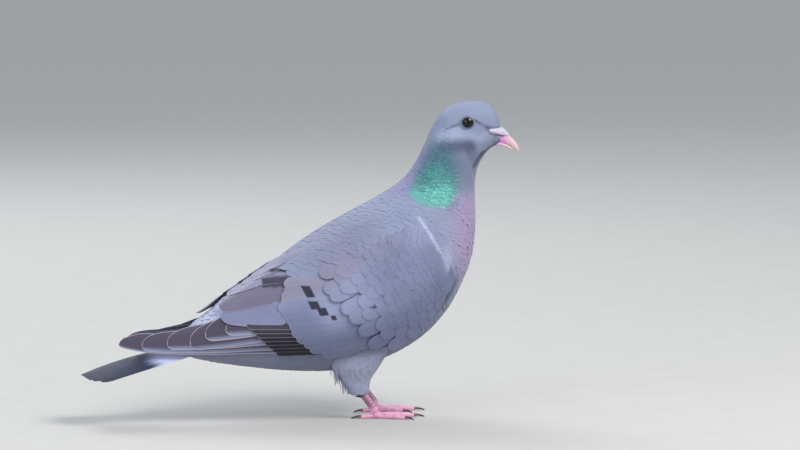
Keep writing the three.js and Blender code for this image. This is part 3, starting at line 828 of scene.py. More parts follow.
def skin_material():
    """The skin and the wings' flesh, in the plumage's colours as they show between feathers, mottled with a
    darker grey that is painted shade under the feathers.
    """
    n = Nodes("skin")
    plumage = n.attribute("plumage")
    grain = n.noise(1400, 4)
    # painted shade: the plumage's colours mottled towards dark grey where the skin lies under the feathers
    shade = n.mix(n.ramp(grain, 0.35, 0.7), plumage.outputs["Color"], solid(96, 98, 112))
    return n.set(
        Base_Color=shade,
        Roughness=n.math("ADD", n.math("MULTIPLY", grain, 0.2), 0.6),
        Normal=n.bump(grain, 0.0002, 0.7),
        Sheen_Weight=0.2,
    )


def grained(n, shade, grain, roughness, relief, **more):
    """The material in this shade, with its grain in its roughness and its relief."""
    rough = n.ramp(grain, 0.3, 0.7, *roughness)
    return n.set(Base_Color=shade, Roughness=rough, Normal=n.bump(grain, *relief), **more)


def soft_inside(weight, *radius):
    """Settings for light that passes through soft horn or skin."""
    return dict(Subsurface_Weight=weight, Subsurface_Radius=radius, Subsurface_Scale=0.001)


# ---- contour feathers -------------------------------------------------------------------------------------

# A feather's outline: how far along each ring lies, and its half width there as a share of the whole.
FINE_OUTLINE = np.array([[0.0, 0.22], [0.42, 0.78], [0.68, 1.0], [0.84, 0.92], [0.94, 0.64], [1.0, 0.2]])
SMALL_OUTLINE = np.array([[0.0, 0.3], [0.45, 0.85], [0.72, 1.0], [0.9, 0.72], [1.0, 0.18]])
COVERT_OUTLINE = np.array(
    [[0.0, 0.3], [0.4, 0.82], [0.6, 0.98], [0.76, 1.0], [0.87, 0.9], [0.94, 0.7], [0.985, 0.42], [1.0, 0.14]]
)
# Points round a ring: how far across each lies, and how far below the upper face as a share of thickness.
SEVEN_RING = np.array(
    [[-1.0, 0.0], [-0.62, 0.0], [-0.22, 0.0], [0.22, 0.0], [0.62, 0.0], [1.0, 0.0], [0.3, 1.0], [-0.3, 1.0]]
)
FIVE_RING = np.array([[-1.0, 0.0], [-0.45, 0.0], [0.45, 0.0], [1.0, 0.0], [0.0, 1.0]])
THREE_RING = np.array([[-1.0, 0.0], [0.0, -1.0], [1.0, 0.0]])
LAYERING = 1.75  # how a feather sinks from its tip to its root: more is flatter near the tip
VANE_CAMBER = 0.3  # how far a small feather's vane curves down to its sides
ROOT_JITTER = 0.2  # how far roots stray from their rows, as a share of the spacing
UV_PATCH = 0.003  # how wide each small feather's patch on the unwrapped skin is


def lay(sheet, a, b, length, half, depth, lift, yaw, outline, ring, thickness, ragged):
    """Feathers rooted at (a, b) on a sheet that lie towards growing a. All arrays hold one value a feather.

    Roots lie depth under the sheet and tips lift over it, so each feather covers the root of those behind.
    Returns points, the sheet's normals there (turned inward on the under face), the vane's data (distance
    along, across and from its edge), the share of the length reached, and each point's a and b.
    """
    by_a, by_b = sheet.slopes(a, b)
    lie = unit(by_a)
    slant = np.sum(by_b * lie, axis=-1)
    side_pace = np.linalg.norm(by_b - slant[:, None] * lie, axis=-1)
    pace = np.linalg.norm(by_a, axis=-1)
    length, half, depth, lift, yaw = (each(values) for values in (length, half, depth, lift, yaw))
    (s, width), (c, under) = outline.T[..., None], ring.T
    shape = (len(a), len(s), len(c))
    s_all = np.broadcast_to(s, shape).copy()
    tips = smooth(s_all, 0.6, 0.95)
    s_all += ragged * tips * np.where(under > 0, -1, chance.uniform(-1, 0.6, (len(a), 1, len(c))))
    across = c * width * half * (1 + ragged * chance.uniform(-1, 1, (len(a), len(s), 1)))
    along = s_all * length
    aside = across + each(chance.uniform(-0.1, 0.1, len(a))) * s_all**2 * length
    p = along * np.cos(yaw) - aside * np.sin(yaw)
    q = along * np.sin(yaw) + aside * np.cos(yaw)
    db = q / np.maximum(each(side_pace), 1e-3)
    da = (p - db * each(slant)) / np.maximum(each(pace), 1e-3)
    height = -depth * np.clip(1 - s_all, 0, 1) ** LAYERING + lift * s_all**2
    # the vane curves down to its sides, and the under face lies below all of it
    bow = np.where(under > 0, 1.0, c**2) * width**2
    height = height - VANE_CAMBER * bow * 0.1 * half * s_all
    height = height - (thickness + 0.02 * half) * under * (1 - 0.3 * tips)
    place = each(a) + da, each(b) + db
    points, normals = sheet.at(*place, height, with_normal=True)
    edge = np.minimum((1 - np.abs(c)) * width * half, (1 - s) * length)
    vane = np.stack([along, across, edge], axis=-1)
    return points, normals * np.where(under > 0, -1, 1)[:, None], vane, s_all, place


def per_point(values, like):
    """One row of values a feather, spread over the feather's points."""
    return np.broadcast_to(values[:, None, None, :], like.shape[:3] + values.shape[1:]).copy()


def tuft_data(own, fringe, s_all):
    """Each feather's own number from 0 to 1, how far along it a point lies, and how strong its fringe is."""
    return np.stack([each(own) + 0 * s_all, s_all, each(fringe + 0 * own) + 0 * s_all], axis=-1)


def hex_rows(sheet, a_rows, b_range, spacing):
    """Roots in staggered rows. a_rows are the rows' places, and spacing(a, b) the wished distance there.

    Rows that crowd together are thinned evenly, so that the spacing holds on every side.
    """
    found, passed = [], None
    probe = np.linspace(*b_range, 241)
    carried = np.zeros(len(probe))
    for number, a in enumerate(a_rows):
        probe_a = np.full(len(probe), a)
        line, wish = sheet.at(probe_a, probe), spacing(probe_a, probe)
        steps = np.linalg.norm(np.diff(line, axis=0), axis=1) / ((wish[1:] + wish[:-1]) / 2)
        reached = np.concatenate([[0], np.cumsum(steps)])
        count = max(int(reached[-1]), 3)
        b = np.interp((np.arange(count) + 0.5 * (number % 2) + 0.25) * reached[-1] / count, reached, probe)
        if passed is not None:
            gap = np.linalg.norm(line - passed, axis=1) / (wish * 0.87)
            before, carried = carried, carried + np.where(gap > 0.8, 1, gap)
            owed, due = (np.floor(np.interp(b, probe, sums) + 1e-6) for sums in (before, carried))
            b = b[due > owed]
        passed = line
        wish_here = np.interp(b, probe, wish)
        paces = [np.maximum(np.linalg.norm(by, axis=1), 1e-3) for by in sheet.slopes(np.full(len(b), a), b)]
        stray_b, stray_a = (
            chance.uniform(-ROOT_JITTER, ROOT_JITTER, len(b)) * wish_here / pace for pace in paces[::-1]
        )
        found.append((a + stray_a, b + stray_b))
    return (np.concatenate(values) for values in zip(*found))


BODY_ROUND, THIGH_ROUND = 0.66, 0.44  # how much of the unwrap's square goes once round the body, and a thigh


def unwrapped(along, angle):
    """Where a place on the body lies on the skin's unwrap: along it, and round it from the top."""
    turn = np.mod(angle, 2 * PI) / (2 * PI)
    return np.stack([0.01 + 0.98 * np.clip(along, 0, 1), 0.01 + BODY_ROUND * turn], axis=-1)


def unwrapped_thigh(down, turn, side_name):
    """The two thighs lie above the body on the skin's unwrap."""
    shift = 0.52 if side_name == "left" else 0.02
    around = shift + THIGH_ROUND * np.mod(turn, 2 * PI) / (2 * PI)
    return np.stack([around, 0.7 + 0.28 * np.clip(down, 0, 1)], axis=-1)


def patch_uv(root_uv, vane, s_all, half):
    """Each feather's small patch at its root's place."""
    offset = np.stack([s_all - 0.5, vane[..., 1] / (2 * each(half))], axis=-1) * UV_PATCH
    return per_point(root_uv, s_all) + offset


EYE_CENTRE = np.array([67.3, 10.2, 188.3])  # the left one's, before the head is turned
EYE_FLAT = 0.8
EYE_RADIUS = 5.0
EYE_OPENING = (3.6, 3.35)  # half the opening's length and height
CERE_MIDDLE = (86.6, 181.6)  # x and z of the swelling over the nostril, which is bare of feathers
CERE_HALF = (7.4, 2.9)  # half its length and height
CERE_FALL = math.radians(-18)  # the angle at which it falls forward
# the wings' faces as coarse grids, without the part that runs on over the back, and their side views
wing_grids = {name: sheet.points[::3, :141:3] for name, sheet in wing_sheets.items()}
wing_trees = {name: tree_of((grid * (1, 0, 1)).reshape(-1, 3)) for name, grid in wing_grids.items()}


def wing_place(points):
    """Where points of the body lie beside a wing.

    Returns u and v of the wing's nearest place in the side view, how far off it they lie there, and how far
    nearer the middle than the wing.
    """
    places = []
    for x, y, z in points:
        name = "left" if y > 0 else "right"
        _, index, off = wing_trees[name].find((x, 0, z))
        grid = wing_grids[name]
        i, j = divmod(index, grid.shape[1])
        under = abs(grid[i, j, 1]) - abs(y)
        places.append((i / (grid.shape[0] - 1), j / (grid.shape[1] - 1), off, under))
    return np.array(places).T


# Size of the body's feathers by section row: spacing, length, half width, depth of the coat.
FEATHER_ROWS = through(
    [
        [0.62, 1.8, 0.46, 0.3],
        [0.66, 2.1, 0.5, 0.36],
        [0.7, 2.4, 0.54, 0.42],
        [0.75, 2.7, 0.6, 0.48],
        [0.82, 3.0, 0.66, 0.54],
        [0.9, 3.4, 0.73, 0.6],
        [1.0, 3.8, 0.82, 0.7],
        [1.15, 4.4, 0.96, 0.82],
        [1.45, 5.4, 1.24, 0.96],
        [1.85, 6.6, 1.6, 1.15],
        [2.1, 7.6, 1.8, 1.3],
        [2.2, 8.6, 2.0, 1.5],
        [2.6, 10.4, 2.4, 1.6],
        [3.0, 12.0, 2.8, 1.7],
        [3.4, 13.4, 3.2, 1.7],
        [3.7, 14.6, 3.5, 1.8],
        [3.8, 15.2, 3.6, 1.8],
        [3.8, 15.2, 3.6, 1.9],
        [3.6, 14.4, 3.4, 2.0],
        [3.2, 13.6, 3.1, 2.3],
        [3.1, 14.0, 3.1, 2.1],
        [3.0, 13.0, 3.0, 1.8],
        [3.0, 11.0, 2.8, 1.4],
    ]
)
# between these sections the feathers lie over the wings' edges
MANTLE_FROM, MANTLE_TO = 10.5 / LAST_ROW, 15.9 / LAST_ROW
SCAPULAR_END = 0.415  # the mantle's last feathers are rooted here along the wing
WING_FRONT = 0.085  # at v, the wing shows from u = WING_FRONT * v back, behind the breast's feathers
ROOTS_END = 21.3 / LAST_ROW  # the tail's coverts are rooted up to here


def mantle_edge(u):
    """The v above which the mantle's feathers lie over the wing's own."""
    return mix(0.76, 0.87, smooth(u, 0.1, 0.26))


def root_rows():
    """Where the body's rows of feathers lie, as close as their spacing asks where they are widest apart."""
    rows, a, step, ring = [], 0.5 / LAST_ROW, 0.002, circle(24)
    while a < ROOTS_END:
        rows.append(a)
        here, ahead = (body_sheet.at(np.full(len(ring), place), ring) for place in (a, a + step))
        a += 0.87 * float(FEATHER_ROWS(a)[0]) / (np.linalg.norm(ahead - here, axis=1).max() / step)
    return rows


def bare(straight):
    """Where the unturned head shows its eyes and its cere, which no feather covers."""
    x, out, z = (folded(straight) - EYE_CENTRE).T
    over_eye = (np.hypot(x / (EYE_OPENING[0] + 0.75), z / (EYE_OPENING[1] + 0.75)) < 1) & (out > -4)
    x, z = straight[:, 0] - CERE_MIDDLE[0], straight[:, 2] - CERE_MIDDLE[1]
    along = x * math.cos(CERE_FALL) + z * math.sin(CERE_FALL)
    high = z * math.cos(CERE_FALL) - x * math.sin(CERE_FALL)
    return over_eye | (np.hypot(along / CERE_HALF[0], high / CERE_HALF[1]) < 1)


def body_feathers():
    """Every contour feather of head, neck, trunk and rump, as arrays of its place and size."""
    a, b = hex_rows(body_sheet, root_rows(), (0, 2 * PI), lambda a, b: FEATHER_ROWS(a)[..., 0])
    _, length, half, depth = np.moveaxis(FEATHER_ROWS(a), -1, 0)
    roots, straight = body_sheet.at(a, b), straight_body(a, b)
    # none on what is bare or under the wings
    u, v, off, under = wing_place(roots)
    under_wing = (a > 9.5 / LAST_ROW) & (u > WING_FRONT * v - 0.02) & (v > 0.07) & (off < 1.6) & (under < 11)
    mantle = (a > MANTLE_FROM) & (a < MANTLE_TO)
    edge = mantle_edge(u) + chance.uniform(-0.05, 0.05, len(u))
    covered = under_wing & (u < 0.995) & (v < np.where(mantle, edge, 0.95)) & ((u < 0.66) | (v < 0.6))
    covered |= mantle & (u > SCAPULAR_END) & (v > 0.8) & (roots[:, 2] > 80) & (np.abs(roots[:, 1]) > 9)
    keep = ~bare(straight) & ~covered
    found = dict(a=a, b=b, length=length, half=half, depth=depth, straight=straight, v=v)
    return {key: value[keep] for key, value in found.items()}


def triangles(piece):
    """How many triangles a piece has."""
    return sum(len(p.vertices) - 2 for p in piece.data.polygons)


NECK_MOTTLE = 0.8  # how far the neck's colours mingle, in millimetres
# the wing's pale front edge as it shows in the side view
FRONT_EDGE = ((26.6, 0, 129.5), (38.6, 0, 108.5))
# the flank that the wing's lower edge shades, seen from the side: just ahead of and below that edge
WING_FOOT = [(row[0] + 3.0, 0, row[2] - 1.6) for row in WING_ROWS[:6]]
# The coat's pieces: first and last section row, outline, ring, and the sheet that it lies on.
COATS = {
    "coat_face": (0, 4.6, SMALL_OUTLINE, THREE_RING, "head_plumage", body_sheet),
    "coat_nape": (4.6, 6.6, SMALL_OUTLINE, THREE_RING, "head_plumage", body_sheet),
    "coat_neck": (6.6, 10.5, FINE_OUTLINE, FIVE_RING, "neck_plumage", cover_sheet),
    "coat_trunk": (10.5, 15.9, FINE_OUTLINE, FIVE_RING, "body_plumage", cover_sheet),
    "coat_rump": (15.9, LAST_ROW, FINE_OUTLINE, FIVE_RING, "rump_plumage", rump_sheet),
}


def with_front_edge(shade, points):
    """The colours at these points, with the pale line along the wing's front edge."""
    line = stroke(points * (1, 0, 1), *FRONT_EDGE, 1.6) * smooth(np.abs(points[..., 1]), 15, 22)
    return mix(shade, WING_COLOURS["front"], 0.9 * line[..., None])


def with_wing_shade(shade, points):
    """The colours at these points, darker along the foot of the wing."""
    flat = points * (1, 0, 1)
    shadow = np.max([stroke(flat, *ends, 6.4) for ends in zip(WING_FOOT, WING_FOOT[1:])], axis=0)
    shadow *= 0.9 * smooth(points[..., 2], 96, 83)
    return mix(shade, MARKS["wing_shadow"], shadow[..., None])


def build_body_plumage(materials):
    """The contour feathers of face, nape, neck, trunk and rump."""
    f = body_feathers()
    count = len(f["a"])
    _, y, z = f["straight"].T
    size = chance.uniform(0.9, 1.1, count)
    yaw = chance.normal(0, 0.06, count)
    lift = 0.03 + chance.uniform(-0.02, 0.02, count) + 0.15 * smooth(z, 60, 38) * chance.uniform(0, 1, count)
    # the mantle and the back are broader feathers that spread outward over the wings' upper edges
    mantle = smooth(f["a"], 11.5 / LAST_ROW, 13 / LAST_ROW) * smooth(np.abs(f["v"] - 1), 0.25, 0.05)
    mantle *= smooth(f["a"], 17 / LAST_ROW, 16 / LAST_ROW)
    length, half = f["length"] * size * (1 + 0.2 * mantle), f["half"] * size * (1 + 0.15 * mantle)
    yaw += np.where(y > 0, 1, -1) * 0.12 * mantle
    for name, (first, last, outline, ring, slot, sheet) in COATS.items():
        mask = (f["a"] >= first / LAST_ROW) & (f["a"] < last / LAST_ROW)
        a, b, long, wide = f["a"][mask], f["b"][mask], length[mask], half[mask]
        points, normals, vane, s_all, place = lay(
            sheet, a, b, long, wide, f["depth"][mask], lift[mask], yaw[mask], outline, ring,
            thickness=0.06 if ring is FIVE_RING else 0.02, ragged=0.012,
        )
        pace = np.linalg.norm(sheet.slopes(a, b)[0], axis=1)
        seen = straight_body(np.clip(a + 0.75 * long / pace, 0, 1), b)
        glow, variety, fringe = iridescence(seen), 1, 0.06
        if name == "coat_neck":
            seen = seen + chance.normal(0, NECK_MOTTLE, seen.shape) * mix(0.4, 1, glow[:, None])
            glow = iridescence(seen)
            variety = mix(0.3, 1, glow)
            fringe = fringe + glow * mix(0.35, 0.8, smooth(seen[:, 2], 142, 156))
        plumage = per_point(with_glow(body_colour(seen), glow), s_all)
        tuft = tuft_data(0.5 + chance.uniform(-0.5, 0.5, len(a)) * variety, fringe, s_all)
        if name in ("coat_face", "coat_nape"):
            # the small feathers of the head take the markings' colour point by point
            plumage[..., :3] = body_colour(straight_body(np.clip(place[0], 0, 1), place[1]))
        if name == "coat_trunk":
            plumage[..., :3] = with_wing_shade(with_front_edge(plumage[..., :3], points), points)
        coat = Feathers(0.96)
        coat.add(points, normals, plumage, vane, tuft, patch_uv(unwrapped(a, b), vane, s_all, wide))
        made = coat.piece(name, slot, materials[name])
        print(name, len(a), "feathers", triangles(made), "triangles")


PLUMES = 26  # loose plumes at the back of each thigh


def build_thigh_plumage(material):
    """The thighs' soft feathers, which hang close, with a few loose plumes behind."""
    coat = Feathers(0.88)
    for side_name, sheet in thigh_sheets.items():
        rows = np.linspace(0.2, 0.86, 21)
        a, b = hex_rows(sheet, rows, (0, 2 * PI), lambda a, b: mix(2.1, 1.25, smooth(a, 0.35, 0.9)))
        count, rear = len(a), smooth(-np.cos(b), 0.2, 1)
        length = mix(8.4, 4.8, smooth(a, 0.4, 0.9)) * chance.uniform(0.9, 1.1, count)
        half = mix(1.8, 1.05, smooth(a, 0.4, 0.9)) * chance.uniform(0.9, 1.1, count)
        lift = 0.06 + chance.uniform(0, 0.05, count)
        lift = lift + 0.35 * rear * smooth(a, 0.4, 0.7) * chance.uniform(0, 1, count)
        yaw = chance.normal(0, 0.1, count)
        plumes = (
            chance.uniform(0.3, 0.62, PLUMES),
            PI + chance.normal(0, 0.5, PLUMES),
            chance.uniform(9, 15, PLUMES),
            chance.uniform(0.5, 0.9, PLUMES),
            chance.uniform(1.5, 5.0, PLUMES),
            chance.normal(0, 0.2, PLUMES),
        )
        close = (a, b, length, half, lift, yaw)
        a, b, length, half, lift, yaw = (np.append(*both) for both in zip(close, plumes))
        points, normals, vane, s_all, _ = lay(
            sheet, a, b, length, half, np.full(len(a), 1.3), lift, yaw, FINE_OUTLINE, FIVE_RING,
            thickness=0.06, ragged=0.015,
        )
        seen = sheet.at(a, b)
        shade = with_glow(mix(body_colour(seen), MARKS["thigh"], smooth(seen[:, 2], 60, 42)[:, None]))
        tuft = tuft_data(chance.uniform(0, 1, len(a)), 0.3, s_all)
        uv = patch_uv(unwrapped_thigh(a, b, side_name), vane, s_all, half)
        coat.add(points, normals, per_point(shade, s_all), vane, tuft, uv)
    made = coat.piece("coat_thighs", "body_plumage", material)
    print(made.name, triangles(made), "triangles")


# ---- skin -------------------------------------------------------------------------------------------------

SKIN_VOXEL = 0.0012
THIGH_COAT = 1.7  # how deep the thighs' coat is
COAT_DEPTH = through([[0.3], [0.4], [0.52], [0.75], [1.1], [1.8], [2.1], [2.2], [2.2], [2.1], [1.7]])


def skin_trunk(a, b):
    """The body's outline, as deep under its surface as the coat is."""
    return body_point(a, b, -COAT_DEPTH(a)[..., 0])


def thigh_part(side_name):
    """A thigh's entry in SKIN_PARTS."""

    def shape(down, turn):
        return thigh_face(down, turn, side_name, -THIGH_COAT)

    def unwrap(down, turn):
        return unwrapped_thigh(down, turn, side_name)

    return shape, unwrap, shape


# The skin's parts: the shape, where it lies on the unwrap, and its place before the head is turned.
SKIN_PARTS = [(skin_trunk, unwrapped, straight_body), *(thigh_part(name) for name in SIDES)]
# rings, and points round a ring, of the parts' raw tubes, and of the grids that colours and unwrap come from
TUBE_STEPS = ((260, 128), (60, 64), (60, 64))
SOURCE_STEPS = ((300, 180), (50, 70), (50, 70))


def closed_skin():
    """Trunk and thighs as tubes that run into each other, joined into one closed mesh and smoothed."""
    points, faces, count = [], [], 0
    for (shape, *_), (along, around) in zip(SKIN_PARTS, TUBE_STEPS):
        points.append(shape(*grid_of(np.linspace(0, 1, along), circle(around))).reshape(-1, 3))
        faces += [f + count for f in tube_faces(along, around)]
        count += len(points[-1])
    skin = add_mesh("skin", np.concatenate(points), faces)
    remesh, smoothing = skin.modifiers.new("remesh", "REMESH"), skin.modifiers.new("smooth", "SMOOTH")
    remesh.mode, remesh.voxel_size = "VOXEL", SKIN_VOXEL
    smoothing.factor, smoothing.iterations = 0.5, 6
    mesh = bpy.data.meshes.new_from_object(skin.evaluated_get(bpy.context.evaluated_depsgraph_get()))
    skin.modifiers.clear()
    skin.data = mesh
    mesh.name = "skin"
    mesh.polygons.foreach_set("use_smooth", np.ones(len(mesh.polygons), bool))
    mesh.materials.clear()
    return skin


def skin_sources(points):
    """Every point's nearest place on each part of the skin.

    Returns arrays by part and point: how far off it is, where on the unwrap, and where before the head turns.
    """
    distances, unwraps, straights = [], [], []
    for (shape, unwrap, straight), (along, around) in zip(SKIN_PARTS, SOURCE_STEPS):
        start = 0 if shape is skin_trunk else 0.1  # a thigh's upper end lies inside the trunk
        place = [values.reshape(-1) for values in grid_of(np.linspace(start, 1, along), circle(around))]
        tree = tree_of(shape(*place))
        _, index, distance = zip(*(tree.find(point) for point in points))
        distances.append(distance)
        unwraps.append(unwrap(*place)[list(index)])
        straights.append(straight(*place)[list(index)])
    return np.array(distances), np.array(unwraps), np.array(straights)


def one_side_of_cut(uv, wrapped_axis, period, face_of):
    """The corners' unwrap with every face's corners on one side of the cut down the back."""
    value = uv[np.arange(len(uv)), wrapped_axis]
    top = np.full(face_of[-1] + 1, -1.0)
    np.maximum.at(top, face_of, value)
    uv[np.arange(len(uv)), wrapped_axis] = np.where(top[face_of] - value > period / 2, value + period, value)
    return uv


def build_skin(material):
    """One closed skin for head, neck, trunk, rump and thighs, as deep under their outline as the coat is."""
    skin = closed_skin()
    mesh = skin.data
    points = read(mesh.vertices, "co", float, 3).reshape(-1, 3) * 1000 - (DRAWING_SHIFT, 0, 0)
    distance, unwraps, straights = skin_sources(points)
    choice = distance.argmin(axis=0)
    straight = straights[choice, np.arange(len(points))]
    add_attribute(mesh, "plumage", with_glow(body_colour(straight), iridescence(straight)))
    # a face's corners all use the unwrap of its first corner's part
    corner_vertex = read(mesh.loops, "vertex_index", np.int32)
    starts, sizes = (read(mesh.polygons, field, np.int32) for field in ("loop_start", "loop_total"))
    face_of = np.repeat(np.arange(len(starts)), sizes)
    part = choice[corner_vertex[starts]][face_of]
    on_body = part == 0
    period = np.where(on_body, BODY_ROUND, THIGH_ROUND)
    add_bake_uv(mesh, one_side_of_cut(unwraps[part, corner_vertex], np.where(on_body, 1, 0), period, face_of))
    mesh.materials.append(material)
    print("skin", len(mesh.polygons) * 2, "triangles")
    return settle(skin, "body_plumage", "head", "neck", "trunk", "rump", "thigh_left", "thigh_right")


# ---- wings ------------------------------------------------------------------------------------------------

WING_COLOURS = {
    "covert": colour(119, 126, 156),
    "middle": colour(141, 147, 178),
    "front": colour(180, 186, 210),
    "scapular": colour(129, 129, 157),
    "umber": colour(140, 134, 156),
    "greater": colour(112, 118, 149),
    "black": colour(42, 44, 62),
    "tertial": colour(114, 109, 131),
    "tertial_pale": colour(136, 136, 162),
    "tertial_blue": colour(126, 131, 163),
    "secondary": colour(15, 15, 24),
    "primary": colour(74, 66, 86),
    "primary_grey": colour(128, 134, 162),
    "buff": colour(176, 168, 180),
    "patch": colour(62, 57, 78),
}
WING_LENGTH = 216.0  # millimetres of wing for the whole of u


def soft_box(u, rise, u_low, u_high, low, high):
    """1 inside a patch of the wing, with soft edges."""
    soft_u, soft = 0.0015, 0.25
    inside_u = smooth(u, u_low - soft_u, u_low + soft_u) * smooth(u, u_high + soft_u, u_high - soft_u)
    return inside_u * smooth(rise, low - soft, low + soft) * smooth(rise, high + soft, high - soft)


# The short black bars: from and to along u, and from and to in millimetres up from the wing's lower edge.
WING_BARS = [
    (0.453, 0.475, 41.3, 48.6),
    (0.453, 0.478, 33.2, 38.8),
    (0.440, 0.464, 28.8, 34.2),
    (0.425, 0.438, 25.2, 28.4),
    (0.312, 0.323, 25.8, 28.2),
]


def covert_colour(u, v):
    """The coverts' colour by their place on the wing."""
    rise = v * wing_chord(u)
    layers = [
        ("middle", smooth(u, 0.24, 0.36) * smooth(v, 0.2, 0.45)),
        ("middle", smooth(u, 0.2, 0.1) * smooth(v, 0.5, 0.66)),
        ("greater", smooth(u, 0.43, 0.5) * smooth(v, 0.8, 0.5)),
        ("greater", smooth(v, 0.35, 0.1)),
        ("scapular", 0.9 * smooth(v, 0.64, 0.78) * smooth(u, 0.1, 0.2)),
        ("umber", 0.7 * smooth(v, 0.62, 0.72) * smooth(v, 0.98, 0.84) * smooth(u, 0.26, 0.36)),
        ("front", smooth(u, 0.042, 0.02) * smooth(v, 0.4, 0.5)),
        ("front", 0.8 * smooth(u, 0.06, 0.03) * smooth(v, 0.12, 0.22) * smooth(v, 0.5, 0.38)),
    ]
    layers += [("black", soft_box(u, rise, *bar)) for bar in WING_BARS]
    return painted(np.broadcast_to(WING_COLOURS["covert"], u.shape + (3,)), layers, WING_COLOURS)


LAST_COVERT_ROW = 0.445  # the rows' tips reach back to this u
SCAPULARS = 0.74  # the upper rows from this v on are the longer feathers of the shoulder


def build_coverts(side_name, material):
    """Rows of coverts from the bend of the wing back, each row longer than the last, and scapulars above."""
    sheet = wing_sheets[side_name]
    coat = Feathers(0.86)
    tip_u, exposed, row = 0.03, 2.5, 0
    while tip_u < LAST_COVERT_ROW:
        spread = max(3.0, exposed * 0.95)
        count = int(float(wing_chord(np.array(tip_u))) / spread)
        v = (np.arange(count + 1) + 0.5 * (row % 2)) / count
        v = v + chance.uniform(-0.2, 0.2, len(v)) / count
        v = v[v < mantle_edge(tip_u) + 0.1]
        count = len(v)
        scapular = (v > SCAPULARS) & (tip_u > 0.12)
        length = exposed * 3.3 * chance.uniform(0.9, 1.1, count) * np.where(scapular, 1.35, 1)
        half = spread * 0.68 * chance.uniform(0.9, 1.1, count) * np.where(scapular, 1.3, 1)
        # each row bends forward towards the wing's lower edge
        bend = 0.12 * np.maximum(0.6 - v, 0) * smooth(tip_u, 0.08, 0.3)
        u = tip_u - bend - length / WING_LENGTH + chance.uniform(-0.18, 0.18, count) * exposed / WING_LENGTH
        lift = np.where(scapular, 0.15, 0.06) + chance.uniform(-0.04, 0.06, count)
        lift = lift + 0.4 * smooth(tip_u, 0.33, 0.42)
        # and its upper end sinks under the mantle's feathers
        sunk = 1.2 * smooth(v, mantle_edge(tip_u) - 0.04, mantle_edge(tip_u) + 0.08)
        points, normals, vane, s_all, place = lay(
            sheet, u, v, length, half, 1.4 + sunk, lift - 0.5 * sunk, chance.normal(0, 0.05, count),
            COVERT_OUTLINE, SEVEN_RING, thickness=0.06, ragged=0.004,
        )
        shade = with_glow(with_front_edge(covert_colour(*place), points))
        tuft = tuft_data(chance.uniform(0, 1, count), 0.22, s_all)
        root = 0.02 + 0.96 * np.clip(np.stack([(u + 0.1) / 0.6, v], axis=-1), 0, 1)
        coat.add(points, normals, shade, vane, tuft, patch_uv(root, vane, s_all, half))
        exposed = min(exposed * 1.075, 8.4)
        tip_u += exposed / WING_LENGTH
        row += 1
    made = coat.piece(f"coat_wing_{side_name}", "wing_coverts", material, f"wing_{side_name}_coverts")
    print(made.name, row, "rows", triangles(made), "triangles")


def steps_aside(aside, by_a, by_b):
    """The change of a and of b for one millimetre aside, by least squares in the sheet's tangent plane."""
    aa, bb, ab = (np.sum(p * q, axis=-1) for p, q in ((by_a, by_a), (by_b, by_b), (by_a, by_b)))
    pa, pb = np.sum(aside * by_a, axis=-1), np.sum(aside * by_b, axis=-1)
    det = aa * bb - ab**2
    return ((pa * bb - pb * ab) / det)[:, None], ((pb * aa - pa * ab) / det)[:, None]


def quill(
    sheet, path, inner, outer, inner_round, outer_round, height, thickness, camber, rings=44, across=11
):
    """One long feather on a sheet, whose inner vane lies towards growing b.

    path(s) gives a and b of its shaft, inner and outer its vanes' widths in millimetres, and the rounds how
    long the curve of each vane's tip is. height(s) is its height over the sheet.
    Returns points, the sheet's normals, vane data, the share s of the length at every point, which points lie
    on the under face, and every point's a and b.
    """
    s = (1 - (1 - np.linspace(0, 1, rings)) ** 1.25) * 0.999
    a, b = (values[:, None] for values in path(s))
    by_a, by_b = sheet.slopes(a[:, 0], b[:, 0])
    middle = sheet.at(a[:, 0], b[:, 0])
    way = unit(np.gradient(middle, s, axis=0))
    length = np.sum(np.linalg.norm(np.diff(middle, axis=0), axis=1))
    aside = unit(np.cross(unit(np.cross(by_a, by_b)), way))
    aside *= np.sign(np.sum(aside * by_b, axis=-1, keepdims=True))
    per_a, per_b = steps_aside(aside, by_a, by_b)
    left = ((1 - s) * length)[:, None]

    def width(full, rounding):
        round_off = np.sqrt(np.clip(1 - (1 - np.clip(left / rounding, 0, 1)) ** 2, 0, 1))
        return full * np.maximum(round_off, 0.03) * mix(0.35, 1.0, smooth(s, 0, 0.25))[:, None]

    steps = np.linspace(-1, 1, across)
    steps = np.sign(steps) * np.abs(steps) ** 0.85
    ring = np.concatenate([steps, steps[-2:0:-1]])
    under = np.concatenate([np.zeros(across), np.ones(across - 2)])
    wide = np.where(ring > 0, width(inner, inner_round), width(outer, outer_round))
    q = ring * wide
    edge = np.minimum((1 - np.abs(ring)) * wide, left)
    bow = camber * (q / (inner + outer)) ** 2 * 2.2
    shaft = 0.18 * np.exp(-((q / 0.5) ** 2)) * (1 - s)[:, None]
    level = height(s)[:, None] - bow + shaft
    level = level - thickness * under * np.minimum(1, edge / 0.8 + 0.25)
    # the sheet bends and stretches beside the shaft, so the step aside is scaled until its length is right
    step = q
    for _ in range(6):
        place = a + per_a * step, b + per_b * step
        reached = np.linalg.norm(sheet.at(*place) - middle[:, None], axis=-1)
        step = step * np.clip(np.abs(q) / np.maximum(reached, 1e-3), 0.5, 2)
    points, normals = sheet.at(*place, level, with_normal=True)
    s_all = np.broadcast_to(s[:, None], q.shape)
    vane = np.stack([s_all * length, q, edge], axis=-1)
    return points, normals * np.where(under > 0, -1, 1)[:, None], vane, s_all, under, place


def strip_uv(number, total, s, q_share, under):
    """A strip of the square for each long feather: its upper face above, its under face below."""
    v = np.where(under > 0, 0.12 + 0.12 * (q_share + 1), 0.44 + 0.24 * (q_share + 1))
    return np.stack([0.01 + 0.98 * s, (number + v) / total], axis=-1)


UNDERSIDE = colour(150, 154, 176)


